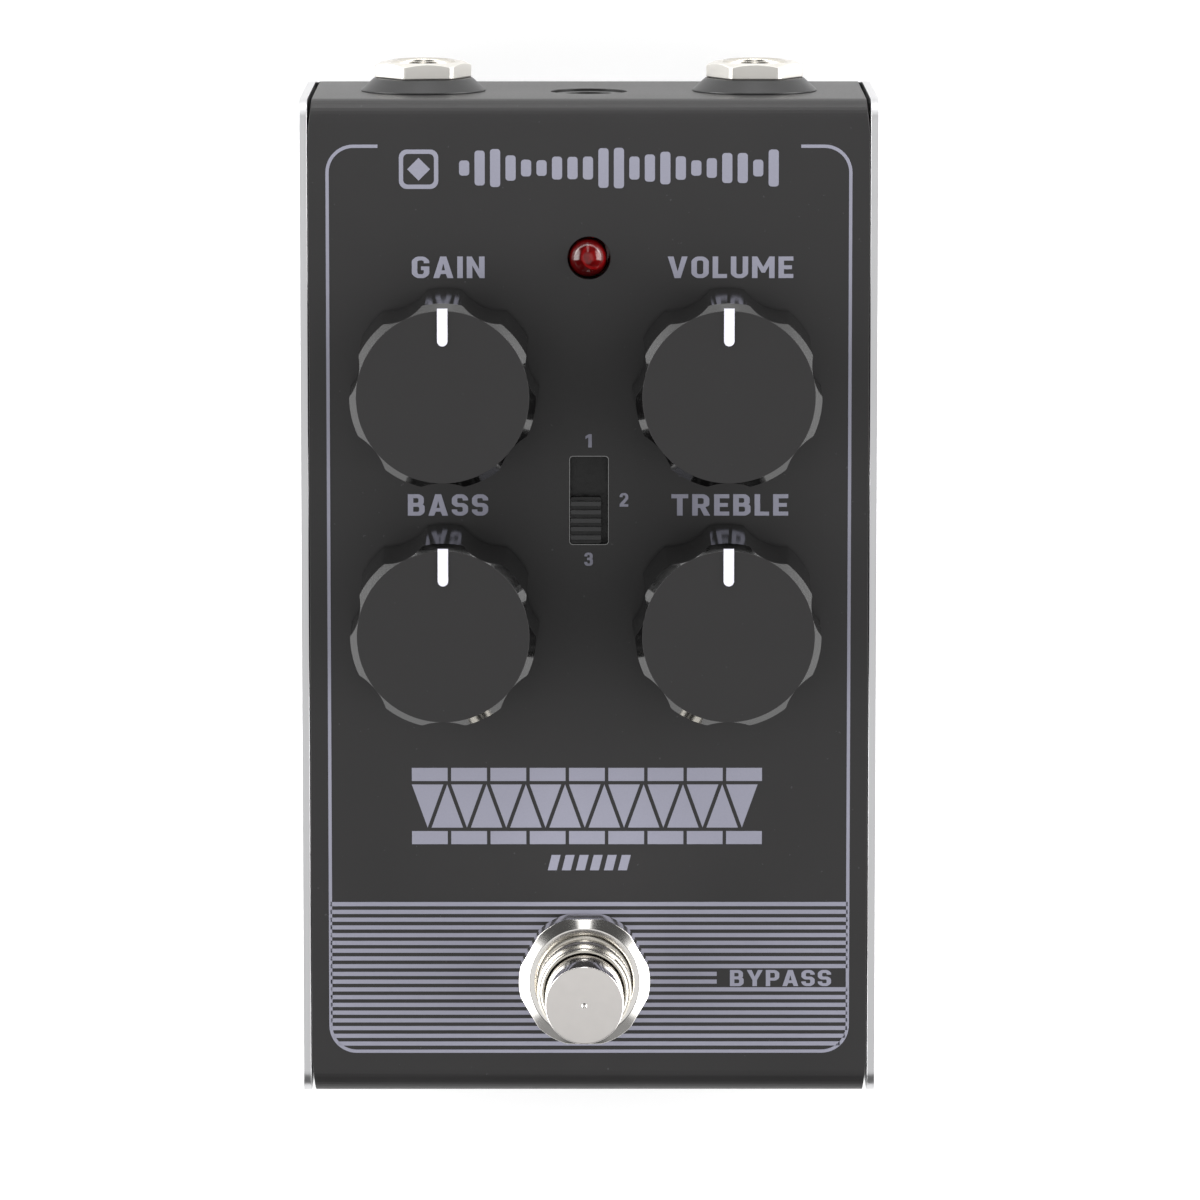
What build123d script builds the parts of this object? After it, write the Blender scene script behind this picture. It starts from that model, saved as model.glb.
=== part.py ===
from build123d import *
import os
from math import sqrt

# A compact guitar effects pedal, in millimetres: a folded black cover over a bare metal tray,
# four rotary controls, a three-position slide switch, a lamp, a foot-operated switch, two
# quarter-inch jacks and a power inlet, with the boards and parts that they need inside.
# The frame: +Z up, +Y towards the rear wall with the jacks, X = 0 on the case's centre plane,
# Z = 0 on the surface that the feet stand on, and Y = 0 half way between the front wall and
# the jacks' outer ends.

# ---- driving dimensions: the case ----
BOX_LENGTH = 128.0      # front wall to rear wall, outside
BOX_WIDTH = 73.5        # across the tray's side plates, outside
JACK_REACH = 4.0        # how far the jacks stand out of the rear wall
FOOT_HEIGHT = 2.0       # rubber feet
FACE_Z = 36.5           # the control face
SIDE_SHEET = 1.0        # tray sheet
COVER_SHEET = 1.2       # cover sheet
BEND_R = 3.0            # outside radius of the cover's bends
TRAY_BEND_R = 2.0       # outside radius of the tray's bends
SHEET_GAP = 0.1         # play between the cover and the tray
THREAD_PLAY = 0.02      # between a nut's hole and the thread that it sits on
WASHER_PLAY = 0.05      # between a washer's hole and the bush in it

REAR_Y = (BOX_LENGTH + JACK_REACH) / 2 - JACK_REACH
FRONT_Y = -(BOX_LENGTH + JACK_REACH) / 2
MID_Y = (REAR_Y + FRONT_Y) / 2
HALF_WIDTH = BOX_WIDTH / 2
COVER_HALF = HALF_WIDTH - SIDE_SHEET - SHEET_GAP
TRAY_TOP = FOOT_HEIGHT + SIDE_SHEET
COVER_BOTTOM = TRAY_TOP + SHEET_GAP
UNDERSIDE = FACE_Z - COVER_SHEET
REAR_INNER = REAR_Y - COVER_SHEET
FRONT_INNER = FRONT_Y + COVER_SHEET

# The cover narrows a little over its bends, which leaves a dark seam at each corner.
CORNER_RELIEF = 0.45
RELIEF_LENGTH = 4.2

# Inward flanges at the foot of the cover's end walls take the case screws.
FLANGE_REACH = 9.0
FLANGE_WIDTH = 14.0
SCREW_X = 26.0
SCREW_INSET = 5.0       # from the end walls' inner faces
SCREW_HOLE_R = 1.6
SCREW_R = 1.45
SCREW_HEAD_R = 2.8
SCREW_HEAD_H = 1.5
SCREW_DOME_R = 0.9
SCREW_SOCKET_R = 1.15    # to the corners of the hexagon socket
SCREW_SOCKET_DEPTH = 1.05
SCREW_LENGTH = 5.0
THREAD_HOLE_R = 1.5

FOOT_R = 6.0
FOOT_X = 26.0
FOOT_INSET = 20.0       # from the end walls' outer faces to the feet's centres
FOOT_CHAMFER = 0.6

# ---- the control board and what stands on it ----
# The board hangs from the controls and sits a little to the left in its clearance holes.
BOARD_X = -0.4
BOARD_THICK = 1.6
POT_BODY_H = 6.8
BOARD_TOP = UNDERSIDE - POT_BODY_H
BOARD_BOTTOM = BOARD_TOP - BOARD_THICK
BOARD_HALF_WIDTH = 31.0
BOARD_CORNER_R = 2.0
BOARD_FRONT_Y = -17.0
BOARD_REAR_Y = REAR_INNER - 0.8

# Rotary controls
POT_MID_X = -0.4
POT_X = 17.9
POT_REAR_Y = 26.2
POT_FRONT_Y = -4.0
POT_HOLE_R = 4.0
POT_BODY_X = 9.8
POT_BODY_Y = 11.4
POT_BODY_CORNER_R = 0.6
POT_BUSH_R = 3.5
POT_BUSH_TOP = FACE_Z + 4.5
SHAFT_R = 3.0
SHAFT_PLAY = 0.05
SHAFT_TOP = FACE_Z + 14.0
SAW_CUT_WIDTH = 1.0
SAW_CUT_DEPTH = 6.0
ROTOR_ROOM_BOTTOM = BOARD_TOP + 1.5
ROTOR_ROOM_R = 4.3
ROTOR_ROOM_H = 1.8
ROTOR_BOTTOM = BOARD_TOP + 1.9
ROTOR_R = 4.0
ROTOR_H = 1.0
POT_WASHER_R = 5.4
POT_WASHER_H = 0.5
POT_NUT_FLATS = 10.0
POT_NUT_H = 2.0

# Knob: seven lobes with concave scallops between them, a bevel and a flat top
KNOB_LOBES = 7
KNOB_FOOT_R = 12.0
KNOB_SHOULDER_R = 11.68
KNOB_TOP_R = 10.8
KNOB_BOTTOM = FACE_Z + 0.8
KNOB_TOP = FACE_Z + 19.0
KNOB_BEVEL_H = 1.0
SCALLOP_R = 6.5
KNOB_HUB_R = 5.2
KNOB_POCKET_R = 9.6
KNOB_ROOF = 3.0
HUB_BOTTOM = POT_BUSH_TOP + 0.5
HUB_BORE_R = 3.02
HUB_BORE_TOP = SHAFT_TOP + 0.5
POINTER_WIDTH = 1.3
POINTER_INNER_R = 6.4
POINTER_OUTER_R = 11.1
POINTER_DEPTH = 0.8
POINTER_PROUD = 0.12
POINTER_PLAY = 0.02

# Slide switch
SLOT_Y = 10.9
SLOT_WIDTH = 4.9
SLOT_LENGTH = 11.3
SLOT_CORNER_R = 0.3
LEVER_WIDTH = 3.86
LEVER_LENGTH = 5.95
LEVER_TRAVEL = 5.0
LEVER_FRONT = SLOT_Y - SLOT_LENGTH / 2 + 0.1
LEVER_BOTTOM = BOARD_TOP + 1.2
LEVER_TOP = FACE_Z + 0.3
LEVER_RIBS = 5
LEVER_RIB_PITCH = 1.08
LEVER_RIB_WIDTH = 0.55
LEVER_RIB_H = 0.5
SLIDE_BODY_X = 8.6
SLIDE_BODY_Y = 19.0
SLIDE_BODY_TOP = BOARD_TOP + 4.6
SLIDE_BODY_CORNER_R = 0.5
SLIDE_ROOM_BOTTOM = BOARD_TOP + 0.8
SLIDE_ROOM_PLAY = 0.6     # at each end of the lever's travel
SLIDE_SIDE_PLAY = 0.3     # at each side of the lever

# Lamp
LED_Y = 41.9
LED_X = -0.15
LED_HOLE_R = 2.7
LED_R = 2.45
LED_TOP = FACE_Z + 1.4
LED_HEIGHT = 8.6
LED_BOTTOM = LED_TOP - LED_HEIGHT
LED_FLANGE_R = 2.9
LED_FLANGE_H = 1.0
LED_LEAD = 0.5
LED_LEAD_PITCH = 2.54
LED_LEAD_HOLE_R = 0.5
LED_LEAD_TAIL = 1.0       # below the control board

# ---- foot-operated switch ----
SWITCH_X = -0.6
SWITCH_Y = -50.5
BUSH_R = 6.0
BUSH_BORE_R = 5.05
BUSH_TOP = FACE_Z + 12.8
BUSH_SEAT_Z = FACE_Z - 3.5
BUSH_BOTTOM = FACE_Z - 6.2
BUSH_CHAMFER = 0.4
SWITCH_HOLE_R = 6.2
SWITCH_WASHER_R = 7.9
SWITCH_WASHER_H = 1.0
SWITCH_NUT_FLATS = 16.2
SWITCH_NUT_CORNER_R = 8.4
SWITCH_NUT_RIM_R = 7.0
SWITCH_NUT_FALL = 0.8
SWITCH_NUT_H = 4.8
INNER_NUT_H = 2.5
CAP_R = 4.95
CAP_TOP = FACE_Z + 21.5
CAP_BOTTOM = FACE_Z + 4.5
CAP_EDGE = 0.4
DIMPLE_R = 0.3
DIMPLE_DEPTH = 0.15
STEM_R = 2.5
STEM_PLAY = 0.08
STEM_BOTTOM = 23.0
PRESS_TRAVEL = 3.0
SPRING_MEAN_R = 3.75
SPRING_WIRE_R = 0.35
SPRING_TURNS = 4
SPRING_PLAY = 0.05
SWITCH_BODY_X = 17.4
SWITCH_BODY_Y = 17.0
SWITCH_BODY_BOTTOM = 15.0
SWITCH_BODY_CORNER_R = 0.8
SWITCH_CAVITY_R = 3.4
SWITCH_CAVITY_BOTTOM = STEM_BOTTOM - PRESS_TRAVEL - 0.6
LUG_PITCH = 4.8
LUG_X = 2.2
LUG_Y = 0.8
LUG_BOTTOM = 9.6
LUG_PLAY = 0.1            # all round each lug in its board
SWITCH_BOARD_Z = 11.0
SWITCH_BOARD_X = 24.0
SWITCH_BOARD_FRONT = SWITCH_Y - 10.0
SWITCH_BOARD_REAR = -33.0
SWITCH_BOARD_CORNER_R = 1.0

# ---- quarter-inch jacks ----
JACK_X = 21.3
JACK_Z = 20.0
PLUG_BORE_R = 3.175
PLUG_CHANNEL_R = 3.5     # through the housing, behind the sleeve
SLEEVE_R = 4.5
SLEEVE_END_Y = REAR_Y + JACK_REACH
SLEEVE_INNER_Y = REAR_INNER - 4.0
SLEEVE_CHAMFER = 0.35
JACK_HOLE_R = 4.65
JACK_BODY_X = 15.0
JACK_BODY_CORNER_R = 0.6
JACK_BODY_INNER_Y = 34.0
JACK_BORE_END_Y = 35.0
JACK_BODY_HALF_H = BOARD_BOTTOM - JACK_Z
JACK_WASHER_FOOT_R = 8.0
JACK_WASHER_FACE_R = 6.45
JACK_WASHER_H = 1.7
JACK_WASHER_EDGE = 0.2   # straight edge below the taper
JACK_NUT_FLATS = 11.0
JACK_NUT_H = 2.1
JACK_NUT_RIM_R = 5.2
JACK_NUT_CORNER_R = 6.2
JACK_NUT_FALL = 0.5
JACK_NUT_TURN = {-1: 7.0, 1: 0.0}   # each nut as it was left when tightened
LEAF_START_Y = JACK_BORE_END_Y + 1.0
LEAF_END_Y = SLEEVE_INNER_Y - 3.0
LEAF_THICK = 0.4
LEAF_OFFSET = 3.6
LEAF_HEIGHT = 4.0
LEAF_POCKET_START = 3.2  # from the jack's axis
LEAF_POCKET_WIDTH = 2.0
LEAF_POCKET_HEIGHT = 4.4
LEAF_POCKET_END_Y = SLEEVE_INNER_Y - 2.0

# ---- power inlet ----
INLET_Z = 21.0
INLET_HOLE_R = 4.9
INLET_COLLAR_R = 4.7
INLET_COLLAR_END_Y = REAR_Y - 0.3
INLET_BORE_R = 3.1
INLET_PIN_R = 1.05
INLET_PIN_TIP_R = 0.5
INLET_PIN_END_Y = REAR_INNER - 0.6
INLET_BODY_X = 10.8
INLET_BODY_INNER_Y = 46.8
INLET_BORE_END_Y = 50.0

# ---- flat cable between the boards ----
RIBBON_WIDTH = 12.0
RIBBON_THICK = 1.0
HEADER_X = 14.0
HEADER_Y = 4.0
HEADER_H = 5.0
MAIN_HEADER_Y = -13.0
FOOT_HEADER_Y = -36.0
RIBBON_LEAD = 4.5        # straight run out of each socket
RIBBON_BEND_R = 4.0

# ---- small parts under the control board: where each stands, and sizes ----
CAN_PLACES = [               # x, y, radius, height
    (-8, 30, 3.1, 8.5),
    (1, 27, 2.5, 7),
    (8, 33, 3.1, 8.5),
    (-26, -8, 2.5, 7),
    (24, 12, 3.1, 8.5),
]
FILM_PLACES = [(-26, 4), (-26, 12), (-26, 20), (24, -4), (24, 22), (14, 3)]
FILM_X = 7.2
FILM_Y = 2.6
FILM_H = 6.5
CHIP_PLACES = [(-14, 6), (-14, 18), (0, 4), (0, 16), (12, 18)]
CHIP_X = 6.4
CHIP_Y = 9.6
CHIP_STANDOFF = 0.5
CHIP_H = 3.4
CHIP_LEG_SPAN = 7.6
CHIP_LEG_PITCH = 2.54
CHIP_LEG_X = 1.2
CHIP_LEG_Y = 0.5
CHIP_LEG_H = 1.4

KNOB_PLACES = {
    "gain": (POT_MID_X - POT_X, POT_REAR_Y),
    "volume": (POT_MID_X + POT_X, POT_REAR_Y),
    "bass": (POT_MID_X - POT_X, POT_FRONT_Y),
    "treble": (POT_MID_X + POT_X, POT_FRONT_Y),
}
SCREW_POINTS = [
    (side * SCREW_X, y)
    for side in (-1, 1)
    for y in (FRONT_INNER + SCREW_INSET, REAR_INNER - SCREW_INSET)
]
FOOT_POINTS = [
    (side * FOOT_X, y)
    for side in (-1, 1)
    for y in (FRONT_Y + FOOT_INSET, REAR_Y - FOOT_INSET)
]

os.makedirs("parts", exist_ok=True)


def save(builder, label):
    """Label the finished piece and write it as its own STEP file."""
    builder.part.label = label
    export_step(builder.part, f"parts/{label}.step")


def level(z):
    """The horizontal plane at height z."""
    return Plane.XY.offset(z)


def rear(y):
    """The plane across the case at y, seen from behind: local x runs along -X, local y along +Z."""
    return Plane(origin=(0, y, 0), x_dir=(-1, 0, 0), z_dir=(0, 1, 0))


def profile_plane(x, y):
    """An upright plane through (x, y): local x is the radius along +X, local y is Z."""
    return Plane(origin=(x, y, 0), x_dir=(1, 0, 0), z_dir=(0, -1, 0))


def upright(x, y):
    """The vertical axis through (x, y)."""
    return Axis((x, y, 0), (0, 0, 1))


def make_hex_nut(seat, height, flats, hole_r, rim_r, cut_r, fall, turn=0.0):
    """A hexagon nut on the plane seat: turn 0 puts a flat towards its local y.

    Its top falls away by fall from rim_r to cut_r, and its corners are turned to cut_r.
    """
    corner_r = flats / sqrt(3)
    with BuildPart() as nut:
        with BuildSketch(seat):
            RegularPolygon(corner_r, 6, rotation=turn)
            Circle(hole_r, mode=Mode.SUBTRACT)
        extrude(amount=height)
        with BuildSketch(Plane(origin=seat.origin, x_dir=seat.x_dir, z_dir=-seat.y_dir)):
            with BuildLine():
                Polyline(
                    (0, 0),
                    (cut_r, 0),
                    (cut_r, height - fall),
                    (rim_r, height),
                    (0, height),
                    close=True,
                )
            make_face()
        revolve(axis=Axis(seat.origin, seat.z_dir), mode=Mode.INTERSECT)
    return nut


# ---- case ----
def make_top_cover():
    """The folded cover: face, front and rear walls, screw flanges and every opening."""
    with BuildPart() as cover:
        with BuildSketch(Plane.YZ):
            with Locations((MID_Y, (COVER_BOTTOM + FACE_Z) / 2)):
                outer = Rectangle(BOX_LENGTH, FACE_Z - COVER_BOTTOM)
            fillet(outer.vertices().group_by(Axis.Y)[-1], BEND_R)
            with BuildSketch(Plane.YZ, mode=Mode.SUBTRACT):
                with Locations((MID_Y, (COVER_BOTTOM - 1 + UNDERSIDE) / 2)):
                    inner = Rectangle(BOX_LENGTH - 2 * COVER_SHEET, UNDERSIDE - COVER_BOTTOM + 1)
                fillet(inner.vertices().group_by(Axis.Y)[-1], BEND_R - COVER_SHEET)
        extrude(amount=COVER_HALF, both=True)
        # flanges
        with BuildSketch(level(COVER_BOTTOM)):
            for y in (FRONT_INNER + FLANGE_REACH / 2, REAR_INNER - FLANGE_REACH / 2):
                with Locations((-SCREW_X, y), (SCREW_X, y)):
                    Rectangle(FLANGE_WIDTH, FLANGE_REACH)
        extrude(amount=COVER_SHEET)
        with BuildSketch(level(COVER_BOTTOM)):
            with Locations(*SCREW_POINTS):
                Circle(THREAD_HOLE_R)
        extrude(amount=COVER_SHEET, mode=Mode.SUBTRACT)
        # plan outline with the corner reliefs
        with BuildSketch(level(COVER_BOTTOM)):
            with BuildLine():
                narrow = COVER_HALF - CORNER_RELIEF
                near = FRONT_Y + RELIEF_LENGTH
                far = REAR_Y - RELIEF_LENGTH
                Polyline(
                    (narrow, FRONT_Y),
                    (COVER_HALF, near),
                    (COVER_HALF, far),
                    (narrow, REAR_Y),
                    (-narrow, REAR_Y),
                    (-COVER_HALF, far),
                    (-COVER_HALF, near),
                    (-narrow, FRONT_Y),
                    close=True,
                )
            make_face()
        extrude(amount=FACE_Z - COVER_BOTTOM, mode=Mode.INTERSECT)
        # openings in the face
        with BuildSketch(level(UNDERSIDE)):
            with Locations(*KNOB_PLACES.values()):
                Circle(POT_HOLE_R)
            with Locations((0, LED_Y)):
                Circle(LED_HOLE_R)
            with Locations((SWITCH_X, SWITCH_Y)):
                Circle(SWITCH_HOLE_R)
            with Locations((0, SLOT_Y)):
                RectangleRounded(SLOT_WIDTH, SLOT_LENGTH, SLOT_CORNER_R)
        extrude(amount=COVER_SHEET, mode=Mode.SUBTRACT)
        # openings in the rear wall
        with BuildSketch(rear(REAR_INNER)):
            with Locations((-JACK_X, JACK_Z), (JACK_X, JACK_Z)):
                Circle(JACK_HOLE_R)
            with Locations((0, INLET_Z)):
                Circle(INLET_HOLE_R)
        extrude(amount=COVER_SHEET, mode=Mode.SUBTRACT)
    return cover


def make_bottom_tray():
    """The bare tray: floor and two side plates, folded from one sheet."""
    height = FACE_Z - FOOT_HEIGHT
    with BuildPart() as tray:
        with BuildSketch(Plane.XZ.offset(-MID_Y)):
            with Locations((0, FOOT_HEIGHT + height / 2)):
                outer = Rectangle(BOX_WIDTH, height)
            fillet(outer.vertices().group_by(Axis.Y)[0], TRAY_BEND_R)
            with BuildSketch(Plane.XZ, mode=Mode.SUBTRACT):
                with Locations((0, TRAY_TOP + height / 2)):
                    inner = Rectangle(BOX_WIDTH - 2 * SIDE_SHEET, height)
                fillet(inner.vertices().group_by(Axis.Y)[0], TRAY_BEND_R - SIDE_SHEET)
        extrude(amount=BOX_LENGTH / 2, both=True)
        fillet(tray.edges().filter_by(Axis.X).group_by(Axis.Z)[-1], BEND_R)
        with BuildSketch(level(FOOT_HEIGHT)):
            with Locations(*SCREW_POINTS):
                Circle(SCREW_HOLE_R)
        extrude(amount=SIDE_SHEET, mode=Mode.SUBTRACT)
    return tray


def make_case_screws():
    """Four button-head screws that come up through the tray into the cover's flanges."""
    with BuildPart() as screws:
        with BuildSketch(level(FOOT_HEIGHT)):
            with Locations(*SCREW_POINTS):
                Circle(SCREW_R)
        extrude(amount=SCREW_LENGTH)
        with BuildSketch(level(FOOT_HEIGHT)):
            with Locations(*SCREW_POINTS):
                Circle(SCREW_HEAD_R)
        extrude(amount=-SCREW_HEAD_H)
        rims = screws.edges().filter_by(GeomType.CIRCLE).group_by(Axis.Z)[0]
        fillet(rims, SCREW_DOME_R)
        with BuildSketch(level(FOOT_HEIGHT - SCREW_HEAD_H)):
            with Locations(*SCREW_POINTS):
                RegularPolygon(SCREW_SOCKET_R, 6)
        extrude(amount=SCREW_SOCKET_DEPTH, mode=Mode.SUBTRACT)
    return screws


def make_rubber_feet():
    """Four self-adhesive domed feet."""
    with BuildPart() as feet:
        with BuildSketch(level(0)):
            with Locations(*FOOT_POINTS):
                Circle(FOOT_R)
        extrude(amount=FOOT_HEIGHT)
        chamfer(feet.edges().group_by(Axis.Z)[0], FOOT_CHAMFER)
    return feet


# ---- control board and controls ----
def make_control_board():
    """The main board, which hangs under the face on the four rotary controls."""
    length = BOARD_REAR_Y - BOARD_FRONT_Y
    with BuildPart() as board:
        with BuildSketch(level(BOARD_BOTTOM)):
            with Locations((BOARD_X, (BOARD_REAR_Y + BOARD_FRONT_Y) / 2)):
                RectangleRounded(2 * BOARD_HALF_WIDTH, length, BOARD_CORNER_R)
            with Locations((LED_X, LED_Y)):
                with GridLocations(LED_LEAD_PITCH, 0, 2, 1):
                    Circle(LED_LEAD_HOLE_R, mode=Mode.SUBTRACT)
        extrude(amount=BOARD_THICK)
    return board


def make_pot(x, y):
    """A rotary control: square can, hollow for the rotor, with its threaded bush."""
    with BuildPart() as pot:
        with BuildSketch(Plane((x, y, BOARD_TOP))):
            RectangleRounded(POT_BODY_X, POT_BODY_Y, POT_BODY_CORNER_R)
        extrude(amount=POT_BODY_H)
        with BuildSketch(Plane((x, y, UNDERSIDE))):
            Circle(POT_BUSH_R)
        extrude(amount=POT_BUSH_TOP - UNDERSIDE)
        with BuildSketch(Plane((x, y, ROTOR_ROOM_BOTTOM))):
            Circle(SHAFT_R + SHAFT_PLAY)
        extrude(amount=POT_BUSH_TOP - ROTOR_ROOM_BOTTOM, mode=Mode.SUBTRACT)
        with BuildSketch(Plane((x, y, ROTOR_ROOM_BOTTOM))):
            Circle(ROTOR_ROOM_R)
        extrude(amount=ROTOR_ROOM_H, mode=Mode.SUBTRACT)
    return pot


def make_shaft(x, y):
    """A control's shaft with its rotor disc and the saw cut in its top."""
    with BuildPart() as shaft:
        with BuildSketch(Plane((x, y, ROTOR_BOTTOM))):
            Circle(ROTOR_R)
        extrude(amount=ROTOR_H)
        with BuildSketch(Plane((x, y, ROTOR_BOTTOM))):
            Circle(SHAFT_R)
        extrude(amount=SHAFT_TOP - ROTOR_BOTTOM)
        with BuildSketch(Plane((x, y, SHAFT_TOP))):
            Rectangle(SAW_CUT_WIDTH, 2 * SHAFT_R + 1)
        extrude(amount=-SAW_CUT_DEPTH, mode=Mode.SUBTRACT)
    return shaft


def make_knob(x, y):
    """A moulded knob: turned outline, hollow underside with a hub, scallops and pointer slot."""
    scallop_centre = KNOB_TOP_R + SCALLOP_R
    pocket_top = KNOB_TOP - KNOB_ROOF
    with BuildPart() as knob:
        with BuildSketch(profile_plane(x, y)):
            with BuildLine():
                Polyline(
                    (HUB_BORE_R, HUB_BOTTOM),
                    (KNOB_HUB_R, HUB_BOTTOM),
                    (KNOB_HUB_R, pocket_top),
                    (KNOB_POCKET_R, pocket_top),
                    (KNOB_POCKET_R, KNOB_BOTTOM),
                    (KNOB_FOOT_R, KNOB_BOTTOM),
                    (KNOB_SHOULDER_R, KNOB_TOP - KNOB_BEVEL_H),
                    (KNOB_TOP_R, KNOB_TOP),
                    (0, KNOB_TOP),
                    (0, HUB_BORE_TOP),
                    (HUB_BORE_R, HUB_BORE_TOP),
                    close=True,
                )
            make_face()
        revolve(axis=upright(x, y))
        with BuildSketch(Plane((x, y, KNOB_BOTTOM))):
            with PolarLocations(scallop_centre, KNOB_LOBES, start_angle=90 + 180 / KNOB_LOBES):
                Circle(SCALLOP_R)
        extrude(amount=KNOB_TOP - KNOB_BOTTOM, mode=Mode.SUBTRACT)
        slot_width = POINTER_WIDTH + 2 * POINTER_PLAY
        slot_inner = POINTER_INNER_R - POINTER_PLAY + slot_width / 2
        with BuildSketch(Plane((x, y, KNOB_TOP))):
            with Locations((0, slot_inner)):
                Circle(slot_width / 2)
            with Locations((0, (slot_inner + KNOB_FOOT_R) / 2)):
                Rectangle(slot_width, KNOB_FOOT_R - slot_inner)
        extrude(amount=-POINTER_DEPTH, mode=Mode.SUBTRACT)
    return knob


def make_pointer(x, y):
    """The white bar let into a knob's top, round at its inner end."""
    round_centre = POINTER_INNER_R + POINTER_WIDTH / 2
    with BuildPart() as pointer:
        with BuildSketch(Plane((x, y, KNOB_TOP - POINTER_DEPTH))):
            with Locations((0, round_centre)):
                Circle(POINTER_WIDTH / 2)
            with Locations((0, (round_centre + POINTER_OUTER_R) / 2)):
                Rectangle(POINTER_WIDTH, POINTER_OUTER_R - round_centre)
        extrude(amount=POINTER_DEPTH + POINTER_PROUD)
    return pointer


def make_pot_washers():
    """One flat washer under each control's nut."""
    with BuildPart() as washers:
        with BuildSketch(level(FACE_Z)):
            with Locations(*KNOB_PLACES.values()):
                Circle(POT_WASHER_R)
                Circle(POT_BUSH_R + WASHER_PLAY, mode=Mode.SUBTRACT)
        extrude(amount=POT_WASHER_H)
    return washers


def make_pot_nuts():
    """One hexagon nut on each control's bush, hidden under the knob."""
    with BuildPart() as nuts:
        with BuildSketch(level(FACE_Z + POT_WASHER_H)):
            with Locations(*KNOB_PLACES.values()):
                RegularPolygon(POT_NUT_FLATS / sqrt(3), 6)
                Circle(POT_BUSH_R + THREAD_PLAY, mode=Mode.SUBTRACT)
        extrude(amount=POT_NUT_H)
    return nuts


def make_slide_switch_body():
    """The slide switch's metal can, open along the top for the lever."""
    room_front = LEVER_FRONT - SLIDE_ROOM_PLAY
    room_rear = LEVER_FRONT + LEVER_LENGTH + LEVER_TRAVEL + SLIDE_ROOM_PLAY
    with BuildPart() as body:
        with BuildSketch(level(BOARD_TOP)):
            with Locations((BOARD_X, SLOT_Y)):
                RectangleRounded(SLIDE_BODY_X, SLIDE_BODY_Y, SLIDE_BODY_CORNER_R)
        extrude(amount=SLIDE_BODY_TOP - BOARD_TOP)
        with BuildSketch(level(SLIDE_ROOM_BOTTOM)):
            with Locations((BOARD_X, (room_front + room_rear) / 2)):
                Rectangle(LEVER_WIDTH + 2 * SLIDE_SIDE_PLAY, room_rear - room_front)
        extrude(amount=SLIDE_BODY_TOP - BOARD_TOP, mode=Mode.SUBTRACT)
    return body


def make_slide_switch_lever():
    """The slide switch's lever at its front-most position, with cross ribs on its top."""
    middle = LEVER_FRONT + LEVER_LENGTH / 2
    with BuildPart() as lever:
        with BuildSketch(level(LEVER_BOTTOM)):
            with Locations((BOARD_X, middle)):
                Rectangle(LEVER_WIDTH, LEVER_LENGTH)
        extrude(amount=LEVER_TOP - LEVER_RIB_H - LEVER_BOTTOM)
        with BuildSketch(level(LEVER_TOP - LEVER_RIB_H)):
            with Locations((BOARD_X, middle)):
                with GridLocations(0, LEVER_RIB_PITCH, 1, LEVER_RIBS):
                    Rectangle(LEVER_WIDTH, LEVER_RIB_WIDTH)
        extrude(amount=LEVER_RIB_H)
    return lever


def make_status_led():
    """A round lamp with a domed top and a locating flange."""
    flange_top = LED_BOTTOM + LED_FLANGE_H
    dome_z = LED_TOP - LED_R
    with BuildPart() as led:
        with BuildSketch(profile_plane(LED_X, LED_Y)):
            with BuildLine():
                Polyline(
                    (0, LED_TOP),
                    (0, LED_BOTTOM),
                    (LED_FLANGE_R, LED_BOTTOM),
                    (LED_FLANGE_R, flange_top),
                    (LED_R, flange_top),
                    (LED_R, dome_z),
                )
                RadiusArc((LED_R, dome_z), (0, LED_TOP), -LED_R)
            make_face()
        revolve(axis=upright(LED_X, LED_Y))
    return led


def make_led_leads():
    """The lamp's two leads, which pass through the control board."""
    with BuildPart() as leads:
        with BuildSketch(level(LED_BOTTOM)):
            with Locations((LED_X, LED_Y)):
                with GridLocations(LED_LEAD_PITCH, 0, 2, 1):
                    Rectangle(LED_LEAD, LED_LEAD)
        extrude(amount=BOARD_BOTTOM - LED_LEAD_TAIL - LED_BOTTOM)
    return leads


# ---- foot-operated switch ----
def make_switch_bushing():
    """The threaded bush: a wide bore for the cap and spring, then a guide hole for the stem."""
    with BuildPart() as bushing:
        with BuildSketch(profile_plane(SWITCH_X, SWITCH_Y)):
            with BuildLine():
                Polyline(
                    (STEM_R + STEM_PLAY, BUSH_BOTTOM),
                    (BUSH_R, BUSH_BOTTOM),
                    (BUSH_R, BUSH_TOP - BUSH_CHAMFER),
                    (BUSH_R - BUSH_CHAMFER, BUSH_TOP),
                    (BUSH_BORE_R, BUSH_TOP),
                    (BUSH_BORE_R, BUSH_SEAT_Z),
                    (STEM_R + STEM_PLAY, BUSH_SEAT_Z),
                    close=True,
                )
            make_face()
        revolve(axis=upright(SWITCH_X, SWITCH_Y))
    return bushing


def make_switch_plunger():
    """The foot button: polished cap with a softened rim and centre dimple, and its stem."""
    with BuildPart() as plunger:
        with BuildSketch(profile_plane(SWITCH_X, SWITCH_Y)):
            with BuildLine():
                Polyline(
                    (0, STEM_BOTTOM),
                    (STEM_R, STEM_BOTTOM),
                    (STEM_R, CAP_BOTTOM),
                    (CAP_R, CAP_BOTTOM),
                    (CAP_R, CAP_TOP - CAP_EDGE),
                )
                RadiusArc((CAP_R, CAP_TOP - CAP_EDGE), (CAP_R - CAP_EDGE, CAP_TOP), -CAP_EDGE)
                Polyline(
                    (CAP_R - CAP_EDGE, CAP_TOP),
                    (DIMPLE_R, CAP_TOP),
                    (0, CAP_TOP - DIMPLE_DEPTH),
                    (0, STEM_BOTTOM),
                )
            make_face()
        revolve(axis=upright(SWITCH_X, SWITCH_Y))
    return plunger


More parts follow.
